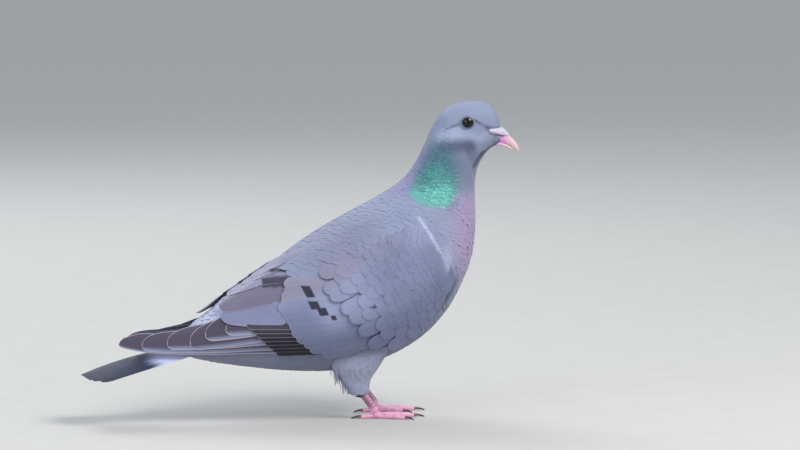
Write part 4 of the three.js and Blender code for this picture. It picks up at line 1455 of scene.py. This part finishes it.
def quill_piece(name, slot, material, quills, *replaced):
    """A piece of long feathers.

    Each is its sheet, its settings for quill, its colour as a function of s, the share of the vane's width,
    a and b, and how strong its fringe is.
    """
    coat = Feathers(0.45)
    for number, (sheet, build, paint, fringe) in enumerate(quills):
        points, normals, vane, s, under, place = quill(sheet, **build)
        widest = np.where(vane[..., 1] > 0, build["inner"], build["outer"])
        share = np.clip(vane[..., 1] / widest, -1, 1)
        shade = with_glow(mix(paint(s, share, *place), UNDERSIDE, 0.5 * under[None, :, None]))
        own = np.full(s.shape, chance.uniform())
        tuft = np.stack([own, 0.75 + 0.25 * s, np.full(s.shape, fringe)], axis=-1)
        uv = strip_uv(number, len(quills), s, share, under)
        coat.add(*(values[None] for values in (points, normals, shade, vane, tuft, uv)))
    made = coat.piece(name, slot, material, *replaced)
    print(name, len(quills), "quills", triangles(made), "triangles")


def line_path(root, tip):
    """A straight shaft from (a, b) to (a, b)."""
    return lambda s: (mix(root[0], tip[0], s), mix(root[1], tip[1], s))


def ramp_height(low, high, start=0.0, end=0.8):
    """A feather's height over its sheet, which rises from the start to the end of this stretch of it."""
    return lambda s: mix(low, high, smooth(s, start, end))


def wing_path(root_u, root_rise, tip_u, tip_rise):
    """A shaft over the wing between two places, given by u and by millimetres up from the lower edge."""

    def path(s):
        u = mix(root_u, tip_u, s)
        return u, mix(root_rise, tip_rise, s) / wing_chord(u)

    return path


# Primaries from the outermost in: the root's rise, the tip's u and rise, the inner vane's width and round.
PRIMARIES = [
    (4.0, 0.984, 2.4, 13.0, 25.0),
    (10.0, 0.921, 5.0, 13.5, 28.0),
    (17.7, 0.859, 7.2, 15.5, 24.0),
    (24.4, 0.806, 7.8, 17.0, 20.0),
    (30.0, 0.767, 13.8, 14.0, 17.0),
    (27.5, 0.714, 18.5, 7.5, 8.0),
]
FAR_WING_RISE = 7.5  # the left wing's primaries lie this much higher
FAR_WING_VANES = 0.7  # and close over each other, so that their inner vanes show less
FAR_WING_SHORTER = 0.035  # and end this much sooner, in u
FAR_INNER_DROP = 7.0  # its inner feathers lie this much lower, out of sight behind the rump
# but one shows along the rump's outline: its tip's u and rise, its inner vane's width and its drop
FAR_LONGEST = (0.750, 29.4, 6.0, 0.0)
SECONDARIES = 8
SECONDARY_TIPS = ((0.612, 2.5), (0.660, 21.5))  # the lowest one's and the highest one's
# Tertials and inner coverts from below up: root u and rise, tip u and rise, inner and outer vane, colour.
TERTIALS = [
    (0.40, 27, 0.706, 27.5, 10.5, 6.8, "tertial_blue"),
    (0.40, 53, 0.700, 32.5, 9.5, 6.8, "tertial"),
    (0.40, 60, 0.655, 47.8, 7.0, 6.5, "tertial_pale"),
    (0.38, 69, 0.606, 54.5, 5.5, 5.5, "tertial_pale"),
    (0.36, 74, 0.570, 60.0, 5.0, 5.5, "tertial_pale"),
]
GREATER_COVERTS = 13
# the greater coverts' tips: rises, and u at each
GREATER_TIPS = ((1, 5, 10, 14, 33, 43, 49), (0.49, 0.52, 0.534, 0.555, 0.562, 0.532, 0.508))


def outer_web(shade, web, share_from=-0.2):
    """A feather whose outer web is of a second colour towards its edge."""
    return lambda s, share, u, v: mix(shade, web, smooth(share, share_from, -0.8)[..., None])


# The inner feathers' dark blocks: u and v of the upper back, upper front, lower front and lower back corner.
DARK_BLOCKS = [
    ((0.557, 0.988), (0.490, 0.913), (0.510, 0.825), (0.573, 0.906)),
    ((0.522, 1.010), (0.482, 0.968), (0.487, 0.940), (0.527, 0.992)),
]


def in_block(u, v, corners):
    """1 inside a block with straight sides, whose edges are soft lines."""
    to_mm, soft = np.array([WING_LENGTH, 58.0]), 0.35
    points = np.stack([u, v], axis=-1) * to_mm
    share = 1.0
    for a, b in zip(corners, corners[1:] + corners[:1]):
        a, b = a * to_mm, b * to_mm
        way = (b - a) / np.hypot(*(b - a))
        inward = (points[..., 1] - a[1]) * way[0] - (points[..., 0] - a[0]) * way[1]
        share = share * smooth(inward, -soft, soft)
    return share


def tertial_paint(shade):
    """An inner feather's colour, with its share of the dark blocks."""

    def paint(_s, _share, u, v):
        dark = np.maximum(*(in_block(u, v, corners) for corners in DARK_BLOCKS))
        return mix(shade, WING_COLOURS["patch"], dark[..., None])

    return paint


def primary_quills(sheet, far):
    """The outermost feathers, which reach the wing's tip, each inner one over the last."""
    pale, raised = WING_COLOURS["primary_grey"], FAR_WING_RISE * far
    # painted light: the far wing's primaries are a share paler than the near wing's, to offset the shade they
    # lie in
    shade = mix(WING_COLOURS["primary"], pale, 0.3 * far)
    quills = []
    for k, (root_rise, tip_u, tip_rise, inner, inner_round) in enumerate(PRIMARIES):
        tip = (tip_u - FAR_WING_SHORTER * far, tip_rise + 0.75 * raised)
        build = dict(
            path=wing_path(0.42, root_rise + raised, *tip),
            inner=inner * (FAR_WING_VANES if far else 1),
            outer=4.6 if k else 2.6,
            inner_round=inner_round,
            outer_round=6.0,
            height=ramp_height(-2.0 + 0.1 * k, -1.5 + 0.22 * k),
            thickness=0.3,
            camber=0.35,
            rings=56,
        )
        quills.append((sheet, build, outer_web(shade, pale), 0.8))
    return quills


def secondary_quills(sheet):
    """The dark feathers of the lower edge, of which little shows."""
    quills = []
    for k in range(SECONDARIES):
        share = k / (SECONDARIES - 1)
        tip_u, tip_rise = (mix(*ends, share) for ends in zip(*SECONDARY_TIPS))
        build = dict(
            path=wing_path(0.38, tip_rise + 2, tip_u, tip_rise),
            inner=7.0,
            outer=2.6,
            inner_round=5.0,
            outer_round=3.0,
            height=ramp_height(-2.1, -0.35 + 0.1 * k, 0.1, 0.5),
            thickness=0.3,
            camber=0.25,
        )
        dark = WING_COLOURS["secondary"]
        shade = mix(dark, WING_COLOURS["tertial"], 0.5 * max(0.0, share - 0.5))
        web = mix(dark, WING_COLOURS["primary"], 0.4)
        quills.append((sheet, build, outer_web(shade, web, -0.5), 0.35 * share))
    return quills


def tertial_quills(sheet, far):
    """The broad inner feathers that close the folded wing from above."""
    quills = []
    for k, (root_u, root_rise, tip_u, tip_rise, inner, outer, name) in enumerate(TERTIALS):
        drop = FAR_INNER_DROP * far
        if far and k == 1:
            tip_u, tip_rise, inner, drop = FAR_LONGEST
        build = dict(
            path=wing_path(root_u, root_rise - drop, tip_u, tip_rise - drop),
            inner=inner,
            outer=outer,
            inner_round=9.0,
            outer_round=9.0,
            height=ramp_height(-1.2, 0.45 + 0.3 * k - 0.4 * far) if k else ramp_height(-1.6, 0.45, 0.2, 0.55),
            thickness=0.35,
            camber=0.5,
            rings=70,
        )
        quills.append((sheet, build, tertial_paint(WING_COLOURS[name]), 0.3))
    return quills


def greater_covert_quills(sheet):
    """The last and longest row of coverts, over the roots of secondaries and tertials."""
    quills = []
    for k in range(GREATER_COVERTS):
        rise = mix(1.2, 50.0, k / (GREATER_COVERTS - 1))
        tip_u = float(np.interp(rise, *GREATER_TIPS)) + chance.uniform(-0.004, 0.004)
        build = dict(
            path=wing_path(0.33, rise + 3, tip_u, rise),
            inner=4.2,
            outer=4.0,
            inner_round=4.6,
            outer_round=5.2,
            height=ramp_height(-1.3, 0.42 + 0.07 * k, 0.3, 0.85),
            thickness=0.3,
            camber=0.6,
            rings=110,
            across=15,
        )
        quills.append((sheet, build, lambda s, share, u, v: covert_colour(u, v), 0.25))
    return quills


def build_wing_quills(side_name, material):
    """The wing's long feathers: primaries, and over them secondaries, tertials and greater coverts."""
    sheet, far = wing_sheets[side_name], side_name == "left"
    inner = secondary_quills(sheet) + tertial_quills(sheet, far) + greater_covert_quills(sheet)
    for kind, quills in (("primaries", primary_quills(sheet, far)), ("secondaries", inner)):
        quill_piece(f"{kind}_{side_name}", "flight_feathers", material, quills, f"wing_{side_name}_{kind}")


BED_END = 0.6  # the flesh of the folded arm and hand reaches back to this u


def build_wing_bed(side_name, material):
    """The folded arm and hand under the coverts: a closed shell, deeper than the feathers' roots."""
    v = np.linspace(0.03, 0.97, 41)
    ring_v = np.concatenate([v, v[-2:0:-1]])
    under = np.concatenate([np.zeros(len(v)), np.ones(len(v) - 2)])
    uu, vv = grid_of(np.linspace(0.004, BED_END, 90), ring_v)
    full = mix(WING_THICK + 3.5, WING_TIP_THICK, smooth(uu, 0.3, 0.8)) - 1.6
    rounded = np.minimum(1, np.sqrt(np.clip(np.minimum(uu, BED_END - uu), 0, 1) / 0.03))
    rounded = rounded * np.minimum(1, np.sqrt(9 * vv * (1 - vv)))
    level = -1.7 - 0.9 * (1 - rounded) - under * np.clip(full, 0.35, 9) * rounded
    points = wing_sheets[side_name].at(uu, vv, level).reshape(-1, 3)
    shade = mix(covert_colour(uu, vv), WING_COLOURS["secondary"], smooth(uu, 0.5, 0.6)[..., None])
    uv = np.stack([uu, np.where(under > 0, 0.5, 0.02) + 0.45 * vv], axis=-1).reshape(-1, 2)
    plumage = with_glow(shade).reshape(-1, 4)
    name, faces = f"wing_bed_{side_name}", list(tube_faces(*uu.shape))
    return settle(add_mesh(name, points, faces, {"plumage": plumage}, uv, material=material), "wing_coverts")


TAIL_FEATHERS = 12
TAIL_LONG = 92  # millimetres of tail for the whole of its sheet's length


def build_tail(material):
    """Twelve tail feathers, the middle pair on top and each one further out under the last."""
    pale, band, tip = colour(196, 204, 238), colour(38, 44, 70), colour(30, 34, 54)

    def paint(s, share, _reach, _across):
        shade = mix(pale, band, smooth(s + 0.02 * share, 0.48, 0.615)[..., None])
        return mix(shade, tip, smooth(s, 0.78, 0.96)[..., None])

    quills = []
    middle = (TAIL_FEATHERS - 1) / 2
    for k in sorted(range(TAIL_FEATHERS), key=lambda k: -abs(k - middle)):
        across = (k - middle) / (TAIL_FEATHERS / 2)
        off = abs(across)
        corner = max(0.0, (off - 0.5) / 0.5)
        cut = TAIL_SHORTER * off**2 + TAIL_CORNER * (1 - math.sqrt(1 - min(corner, 1) ** 2)) * 0.9
        wide, narrow = 7.6, 4.2
        build = dict(
            path=line_path((-0.05, across * 0.55), (1 - cut / TAIL_LONG, across * 0.93)),
            inner=narrow if across > 0 else wide,
            outer=wide if across > 0 else narrow,
            inner_round=7.0,
            outer_round=7.0,
            height=ramp_height(-0.9 - 1.2 * off, -0.1 - 1.3 * off),
            thickness=0.4,
            camber=0.4,
            rings=40,
        )
        quills.append((tail_sheet, build, paint, 0.15))
    quill_piece("tail_feathers", "tail_feathers", material, quills, "tail")


# ---- eyes, bill, legs -------------------------------------------------------------------------------------


def on_head(points):
    """Points of the unturned head, turned with it."""
    return turned(np.asarray(points, float), 1.0)


def eye_material():
    """A black pupil in a very dark brown iris."""
    n = Nodes("eye")
    radius = n.attribute("eye_reach").outputs["Fac"]
    fibres = n.noise(2500, 3)
    iris = n.mix(n.ramp(fibres, 0.35, 0.65), solid(44, 24, 20), solid(20, 12, 14))
    shade = n.mix(n.ramp(radius, 2.2, 2.4), solid(3, 3, 5), iris)
    shade = n.mix(n.ramp(radius, 3.0, 3.3), shade, solid(8, 8, 12))
    return n.set(Base_Color=shade, Roughness=n.ramp(fibres, 0.3, 0.7, 0.05, 0.09), Specular_IOR_Level=0.35)


def eyelid_material():
    n = Nodes("eyelid")
    grain = n.noise(3000, 3)
    ring = n.attribute("lid").outputs["Fac"]
    shade = n.mix(n.ramp(ring, 0.0, 1.0), solid(86, 92, 114), solid(136, 146, 172))
    shade = n.mix(n.ramp(grain, 0.4, 0.75, 0.0, 0.5), shade, solid(70, 74, 94))
    return n.set(Base_Color=shade, Roughness=0.5, Normal=n.bump(grain, 0.00012, 0.8))


def build_eye_ball(side_name, material):
    """A flattened ball with a cornea. eye_reach, the distance from its middle line, sets pupil and iris."""
    mirror = (1, SIDES[side_name], 1)
    p, t = grid_of(np.linspace(0.02, PI - 0.02, 26), circle(64))
    cornea = 1 + 0.1 * np.exp(-((p / 0.55) ** 2))
    local = np.stack([np.sin(p) * np.cos(t), np.cos(p) * EYE_FLAT * cornea, np.sin(p) * np.sin(t)], axis=-1)
    ball = local * EYE_RADIUS * mirror + EYE_CENTRE * mirror
    reach = np.sin(p) * EYE_RADIUS + np.where(p > PI / 2, 6, 0)
    faces = [f[:, :: SIDES[side_name]] for f in tube_faces(*p.shape)]
    name, data = f"eye_ball_{side_name}", {"eye_reach": reach.reshape(-1)}
    eye = add_mesh(name, on_head(ball.reshape(-1, 3)), faces, data, material=material)
    settle(eye, "eye", f"eye_{side_name}")


# The bare ring of the eyelids: from under the opening's rim, over a soft roll, out under the feathers. The
# share of the way out from the opening, and the height over the eyeball's or the head's face.
LID_PROFILE = [
    (-0.35, -0.5),
    (-0.12, -0.05),
    (0.0, 0.32),
    (0.12, 0.5),
    (0.3, 0.5),
    (0.55, 0.3),
    (0.8, 0.05),
    (1.1, -0.35),
    (1.5, -0.9),
    (1.2, -1.4),
    (0.4, -1.5),
]
LID_WIDTH = 1.5


def build_eyelid(side_name, material):
    """The ring of LID_PROFILE round one eye. lid, its share of the way out, sets its colour."""
    side, turn = SIDES[side_name], circle(64)
    rings = []
    for out, level in LID_PROFILE:
        half_x, half_z = (half + LID_WIDTH * out for half in EYE_OPENING)
        x, z = half_x * np.cos(turn), half_z * np.sin(turn) * np.where(np.sin(turn) > 0, 1.0, 0.96)
        inside = np.clip(1 - (np.hypot(x, z) / EYE_RADIUS) ** 2, 0, 1)
        y_ball = EYE_RADIUS * EYE_FLAT * np.sqrt(inside)
        y_head = head_surface(EYE_CENTRE[0] + x, EYE_CENTRE[2] + z) - EYE_CENTRE[1]
        y = mix(np.maximum(y_ball, y_head - 0.6), y_head, smooth(out, -0.1, 1.0)) + level
        rings.append(np.stack([x, side * y, z], axis=-1) + EYE_CENTRE * (1, side, 1))
    i, j = grid_of(np.arange(len(rings)), np.arange(len(turn)))
    here, following, beside = i * len(turn), (i + 1) % len(rings) * len(turn), (j + 1) % len(turn)
    quads = np.stack([here + j, here + beside, following + beside, following + j], axis=-1).reshape(-1, 4)
    out = np.repeat(np.clip([row[0] for row in LID_PROFILE], 0, 1), len(turn))
    lid = on_head(np.array(rings).reshape(-1, 3))
    made = add_mesh(f"eyelid_{side_name}", lid, [quads[:, ::-side]], {"lid": out}, material=material)
    settle(made, "head_plumage")


def build_eyes():
    ball, lid = eye_material(), eyelid_material()
    for side_name in SIDES:
        build_eye_ball(side_name, ball)
        build_eyelid(side_name, lid)


def head_surface(x, z):
    """How far out the side of the unturned head lies at x and z."""
    a, b = grid_of(np.linspace(3 / LAST_ROW, 8 / LAST_ROW, 120), np.linspace(0.1, PI - 0.1, 160))
    grid = straight_body(a, b).reshape(-1, 3)
    far = (grid[:, 0] - x[:, None]) ** 2 + (grid[:, 2] - z[:, None]) ** 2
    return grid[far.argmin(axis=1), 1]


UPPER_BILL_ROWS = [
    [84.0, 179.4, 84.0, 179.4, 0.0],
    [85.4, 184.0, 84.8, 175.8, 3.6],
    [90.2, 182.7, 88.6, 174.8, 3.3],
    [94.0, 179.4, 92.0, 173.6, 2.8],
    [97.4, 176.2, 95.4, 171.6, 2.2],
    [99.8, 172.4, 98.2, 169.6, 1.3],
    [100.4, 168.6, 100.2, 168.4, 0.0],
]
LOWER_BILL_ROWS = [
    [83.6, 175.4, 83.6, 175.4, 0.0],
    [84.6, 176.2, 84.4, 173.2, 2.9],
    [88.6, 175.2, 87.8, 172.9, 2.8],
    [92.2, 173.9, 91.2, 171.9, 2.3],
    [95.6, 171.8, 94.8, 170.2, 1.6],
    [97.8, 169.9, 97.8, 169.9, 0.0],
]
# The cere's sections run from its back end, low in the face, to its front: place along it, half height and
# half width. Its middle line falls forward by CERE_FALL.
CERE_ROWS = [
    [-7.6, 0.0, 0.0],
    [-6.0, 1.6, 9.6],
    [-3.6, 2.6, 9.7],
    [-0.4, 3.6, 8.1],
    [2.6, 3.6, 5.9],
    [5.2, 2.3, 3.8],
    [7.4, 1.0, 2.4],
    [8.0, 0.0, 0.0],
]


def cere_section_rows():
    """The cere's rows as tops and bottoms in the head's side view, like the bill's."""
    along, half_high, half_wide = np.array(CERE_ROWS).T
    x = CERE_MIDDLE[0] + along * math.cos(CERE_FALL)
    z = CERE_MIDDLE[1] + along * math.sin(CERE_FALL)
    lean_x, lean_z = -math.sin(CERE_FALL) * half_high, math.cos(CERE_FALL) * half_high
    return np.stack([x + lean_x, z + lean_z, x - lean_x, z - lean_z, half_wide], axis=-1)


def bill_loft(name, rows, material, slot, node, dent):
    """A closed loft of the bill. dent(t, high) is how far its face sinks in, in millimetres."""
    t, turn = grid_of(np.linspace(0.004, 0.996, 72), circle(48))
    top_x, top_z, bottom_x, bottom_z, half = np.moveaxis(through(rows)(t), -1, 0)
    high, wide = np.cos(turn), np.sin(turn)
    flat, sink = np.sign(wide) * np.abs(wide) ** 0.85, dent(t, high)
    points = np.stack(
        [
            (top_x + bottom_x + (top_x - bottom_x) * high) / 2,
            (np.maximum(half, 0.02) - sink) * flat,
            (top_z + bottom_z + (top_z - bottom_z) * high) / 2,
        ],
        axis=-1,
    )
    data = {"bill_reach": t.reshape(-1), "slit": sink.reshape(-1)}
    made = add_mesh(name, on_head(points.reshape(-1, 3)), list(tube_faces(*t.shape)), data, material=material)
    settle(made, slot, node)


def build_bill():
    """Two halves of horn with the cere over the upper one."""
    n = Nodes("bill")
    reach = n.attribute("bill_reach").outputs["Fac"]
    grain = n.noise(1600, 4)
    shade = n.mix(n.ramp(reach, 0.35, 0.7), solid(226, 160, 210), solid(220, 192, 188))
    shade = n.mix(n.ramp(grain, 0.45, 0.75, 0.0, 0.3), shade, solid(206, 142, 172))
    bill = grained(n, shade, grain, (0.3, 0.42), (0.00008, 0.6), **soft_inside(0.12, 0.6, 0.25, 0.2))
    n = Nodes("cere")
    grain = n.noise(2600, 5)
    shade = n.mix(n.ramp(grain, 0.35, 0.7), solid(208, 202, 216), solid(186, 179, 197))
    # painted shade: the cere darkens where its face sinks into the nostril
    slit = n.attribute("slit").outputs["Fac"]
    shade = n.mix(n.ramp(slit, 0.1, 0.8), shade, solid(110, 78, 122))
    cere = grained(n, shade, grain, (0.6, 0.72), (0.0002, 0.8), **soft_inside(0.1, 0.5, 0.3, 0.3))

    def nostril(t, high):
        return 0.9 * np.exp(-(((high + 0.42) / 0.2) ** 2)) * smooth(t, 0.3, 0.42) * smooth(t, 0.86, 0.72)

    def mouth_edge(t, high):
        return 0.2 * np.exp(-(((high + 0.86) / 0.1) ** 2)) * smooth(t, 0.02, 0.2)

    bill_loft("bill_upper_horn", UPPER_BILL_ROWS, bill, "bill", "bill_upper", mouth_edge)
    bill_loft("bill_lower_horn", LOWER_BILL_ROWS, bill, "bill", "bill_lower", lambda t, high: 0 * t)
    bill_loft("cere_skin", cere_section_rows(), cere, "cere", "cere", nostril)


def leg_material():
    """Pink scutes with darker seams between them, and painted shade over the shank higher up, as under the
    body.
    """
    n = Nodes("leg_skin")
    scute = n.attribute("scute").outputs["Fac"]
    grain = n.noise(1800, 4)
    shade = n.mix(n.ramp(grain, 0.3, 0.7), solid(226, 146, 184), solid(242, 182, 216))
    # painted shade: the leg darkens from 5 to 9 millimetres up, as in the shade under the body
    height = n.parts(n.place())[2]
    shade = n.mix(n.ramp(height, 0.005, 0.009, 0.0, 0.85), shade, solid(124, 72, 96))
    shade = n.mix(n.ramp(scute, 0.55, 1.0), solid(148, 70, 100), shade)
    shade = n.mix(n.ramp(scute, 0.9, 1.25, 0.0, 0.4), shade, solid(236, 196, 214))
    return grained(n, shade, grain, (0.42, 0.6), (0.00015, 0.7), **soft_inside(0.1, 0.7, 0.25, 0.2))


def claw_material():
    n = Nodes("claw")
    grain = n.noise(1500, 4)
    reach = n.attribute("scute").outputs["Fac"]
    shade = n.mix(n.ramp(reach, 0.1, 0.7), solid(120, 92, 90), solid(46, 38, 42))
    return grained(n, shade, grain, (0.28, 0.42), (0.00006, 0.6))


def limb(name, material, slot, node, path, radius, bumps, rings, around):
    """A round tube along path(t). bumps(t, turn) gives its relief and its value for the material."""
    t = np.linspace(0.003, 0.997, rings)
    middle = path(t)
    way = unit(np.gradient(middle, t, axis=0))
    aside = unit(np.cross((0.0, 0.0, 1.0), way))
    up = np.cross(way, aside)
    tt, turn = grid_of(t, circle(around))
    relief, value = bumps(tt, turn)
    r = radius(tt) * np.minimum(1, np.minimum(np.sqrt(10 * tt), np.sqrt(10 * (1 - tt)))) + relief
    points = middle[:, None] + aside[:, None] * (r * np.cos(turn))[..., None]
    points = points + up[:, None] * (r * np.sin(turn))[..., None]
    points[..., 2] = np.maximum(points[..., 2], 0.02)
    faces, data = list(tube_faces(rings, around)), {"scute": value.reshape(-1)}
    settle(add_mesh(name, points.reshape(-1, 3), faces, data, material=material), slot, node)


def shank_bumps(t, turn):
    """Nine broad overlapping scutes in front, and small scales behind."""
    front = smooth(np.sin(turn), -0.2, 0.4)
    saw = np.mod(t * 9, 1)
    scales = 0.1 * (np.sin(t * 60 + 2 * np.sin(turn * 3)) * np.sin(turn * 5)) * (1 - front)
    return 0.22 * saw * front + scales, 0.5 + 0.8 * smooth(saw, 0.0, 0.25) * front + 0.5 * (1 - front)


def build_shank(side_name, material):
    """The bare leg from the heel down to the foot."""
    place = (LEG_AHEAD[side_name], SIDES[side_name] * LEG_OUT)
    heel, foot = (np.array([x + place[0], place[1], z]) for x, z in (HEEL, FOOT))
    limb(
        f"shank_{side_name}", material, "leg_skin", f"tarsus_{side_name}",
        lambda t: heel + (foot - heel) * t[:, None],
        lambda t: SHANK * (1.15 - 0.6 * t * (1 - t)), shank_bumps, 110, 40,
    )


def build_foot_pad(side_name, material):
    """The pad where the toes meet."""
    polar, turn = grid_of(np.linspace(0.05, PI - 0.05, 24), circle(36))
    grit = 0.12 * np.sin(polar * 14) * np.sin(turn * 11)
    pad = np.stack(
        [
            FOOT[0] + LEG_AHEAD[side_name] + 0.6 + (BALL * 1.15 + grit) * np.sin(polar) * np.cos(turn),
            SIDES[side_name] * LEG_OUT + (BALL + grit) * np.sin(polar) * np.sin(turn),
            np.maximum(2.2 + (BALL * 0.82 + grit) * np.cos(polar), 0.02),
        ],
        axis=-1,
    )
    faces, data = [f[:, ::-1] for f in tube_faces(*polar.shape)], {"scute": (0.9 + 2 * grit).reshape(-1)}
    made = add_mesh(f"foot_pad_{side_name}", pad.reshape(-1, 3), faces, data, material=material)
    settle(made, "leg_skin")


def build_toe(side_name, toe_name, skin, horn):
    """A toe with scutes above and pads below, and its claw."""
    degrees, length, radius, claw_length = TOES[toe_name]
    angle = math.radians(degrees) * -SIDES[side_name]
    way = np.array([math.cos(angle), math.sin(angle), 0.0])
    start = np.array([FOOT[0] + 0.6 + LEG_AHEAD[side_name], SIDES[side_name] * LEG_OUT, 0.0])

    def toe_path(t):
        points = start + way * (length * t)[:, None]
        points[:, 2] = radius * (1 - 0.25 * t) - 0.22 + 0.5 * np.sin(PI * np.clip(t, 0, 1)) ** 2
        return points

    def toe_radius(t):
        return radius * (1 - 0.25 * t) * (1 + 0.07 * np.cos(2 * PI * length / 6.5 * t))

    def toe_bumps(t, turn):
        above = smooth(np.sin(turn), -0.1, 0.5)
        saw = np.mod(t * length / 1.7, 1)
        pads = 0.14 * np.abs(np.sin(t * PI * length / 5.5)) * smooth(-np.sin(turn), 0.2, 0.8)
        return 0.16 * saw * above + pads, 0.5 + 0.8 * smooth(saw, 0.0, 0.3) * above + 0.45 * (1 - above)

    def claw_path(t):
        points = toe_path(np.array([1.0]))[0] + way * ((claw_length + 1.4) * t - 1.4)[:, None]
        points[:, 2] = 1.3 + 1.2 * t - 2.4 * t * t
        return points

    place = f"{side_name}_{toe_name}"
    limb(f"toe_skin_{place}", skin, "leg_skin", f"toe_{place}", toe_path, toe_radius, toe_bumps, 120, 32)
    limb(
        f"claw_horn_{place}", horn, "claw", f"claw_{place}", claw_path,
        lambda t: 1.1 * (1 - 0.75 * t), lambda t, turn: (0.03 * np.sin(turn * 2), t), 40, 24,
    )


def build_legs():
    skin, horn = leg_material(), claw_material()
    for side_name in SIDES:
        build_shank(side_name, skin)
        build_foot_pad(side_name, skin)
        for toe_name in TOES:
            build_toe(side_name, toe_name, skin, horn)


# ---- the scene --------------------------------------------------------------------------------------------


FLOOR_REACH = 60.0  # metres from the middle to each side


def build_stage():
    """The floor, which isn't part of the bird, and the world's light."""
    n = Nodes("floor")
    grain = n.noise(40, 3)
    material = n.set(Base_Color=n.mix(grain, solid(196, 194, 190), solid(204, 202, 198)), Roughness=0.8)
    corners = np.array([[-1, -1, 0], [1, -1, 0], [1, 1, 0], [-1, 1, 0]]) * FLOOR_REACH * 1000
    corners = corners - (DRAWING_SHIFT, 0, 0)
    floor = add_mesh("floor", corners, [np.array([[0, 1, 2, 3]])], flat=True, material=material)
    world = bpy.data.worlds.new("studio")
    world.use_nodes = True
    light, strength = world.node_tree.nodes["Background"].inputs[:2]
    light.default_value, strength.default_value = (0.86, 0.92, 1.0, 1), 0.62
    bpy.context.scene.world = world
    bpy.context.scene.view_settings.view_transform = "Standard"


def add_light(name, place, aim, size, watts, tint):
    """A round lamp at a place, which looks at its aim."""
    light = bpy.data.lights.new(name, "AREA")
    light.shape, light.size, light.energy, light.color = "DISK", size, watts, tint
    lamp = bpy.data.objects.new(name, light)
    bpy.context.scene.collection.objects.link(lamp)
    lamp.location = place
    lamp.rotation_euler = look_rotation(np.array(aim) - np.array(place))


def look_rotation(direction):
    """The turn of a lamp or camera that looks this way."""
    return Vector(direction).to_track_quat("-Z", "Y").to_euler()


CAMERA_AIM = np.array([0.0647, -0.0058, 0.1227])
CAMERA_AWAY = np.array([-0.2578, -0.9623, 0.0872])
CAMERA_DISTANCE = 3.0
VIEW_WIDTH = 0.512  # metres across the picture at the bird
SENSOR = 36.0


def build_camera():
    """The photo's view."""
    data = bpy.data.cameras.new("camera")
    data.sensor_width = SENSOR
    data.lens = SENSOR * CAMERA_DISTANCE / VIEW_WIDTH
    data.clip_end = 50
    camera = bpy.data.objects.new("camera", data)
    bpy.context.scene.collection.objects.link(camera)
    camera.location = CAMERA_AIM + CAMERA_AWAY / np.linalg.norm(CAMERA_AWAY) * CAMERA_DISTANCE
    camera.rotation_euler = look_rotation(-CAMERA_AWAY)
    bpy.context.scene.camera = camera


build_stage()
build_camera()
add_light("key", (0.9, -1.3, 1.7), (0, 0, 0.1), 1.1, 34, (1.0, 0.985, 0.96))
add_light("fill", (-1.4, -1.2, 0.8), (0, 0, 0.1), 1.4, 9, (0.92, 0.96, 1.0))
add_light("back", (-0.3, 1.6, 1.5), (0, 0, 0.12), 1.2, 16, (0.95, 0.97, 1.0))

pale_rim = colour(176, 184, 208)
head = dict(barb_pitch=0.28, variety=0.5, root_shade=0.94)
body = dict(variety=0.5, root_shade=0.92)
neck = dict(variety=3.6, root_shade=0.8, rim_width=0.4, shine=True)
quills = dict(barb_pitch=0.5)
materials = {
    "coat_face": plumage_material("face_plumage", pale_rim, **head),
    "coat_nape": plumage_material("nape_plumage", pale_rim, **head),
    "coat_neck": plumage_material("neck_plumage", colour(44, 78, 96), **neck),
    "coat_trunk": plumage_material("body_plumage", pale_rim, **body),
    "coat_rump": plumage_material("rump_plumage", pale_rim, **body),
    "coverts": plumage_material("covert_plumage", colour(108, 114, 140), barb_pitch=0.4, variety=0.8),
    "flight": plumage_material("flight_plumage", WING_COLOURS["buff"], 0.5, 0.12, **quills),
    "tail": plumage_material("tail_plumage", colour(112, 118, 144), 0.58, 0.08, **quills),
}
build_skin(skin_material())
build_body_plumage(materials)
build_thigh_plumage(plumage_material("thigh_plumage", pale_rim, variety=0.6, root_shade=0.94))
for side_name in SIDES:
    build_wing_bed(side_name, skin_material())
    build_coverts(side_name, materials["coverts"])
    build_wing_quills(side_name, materials["flight"])
build_tail(materials["tail"])
build_eyes()
build_bill()
build_legs()
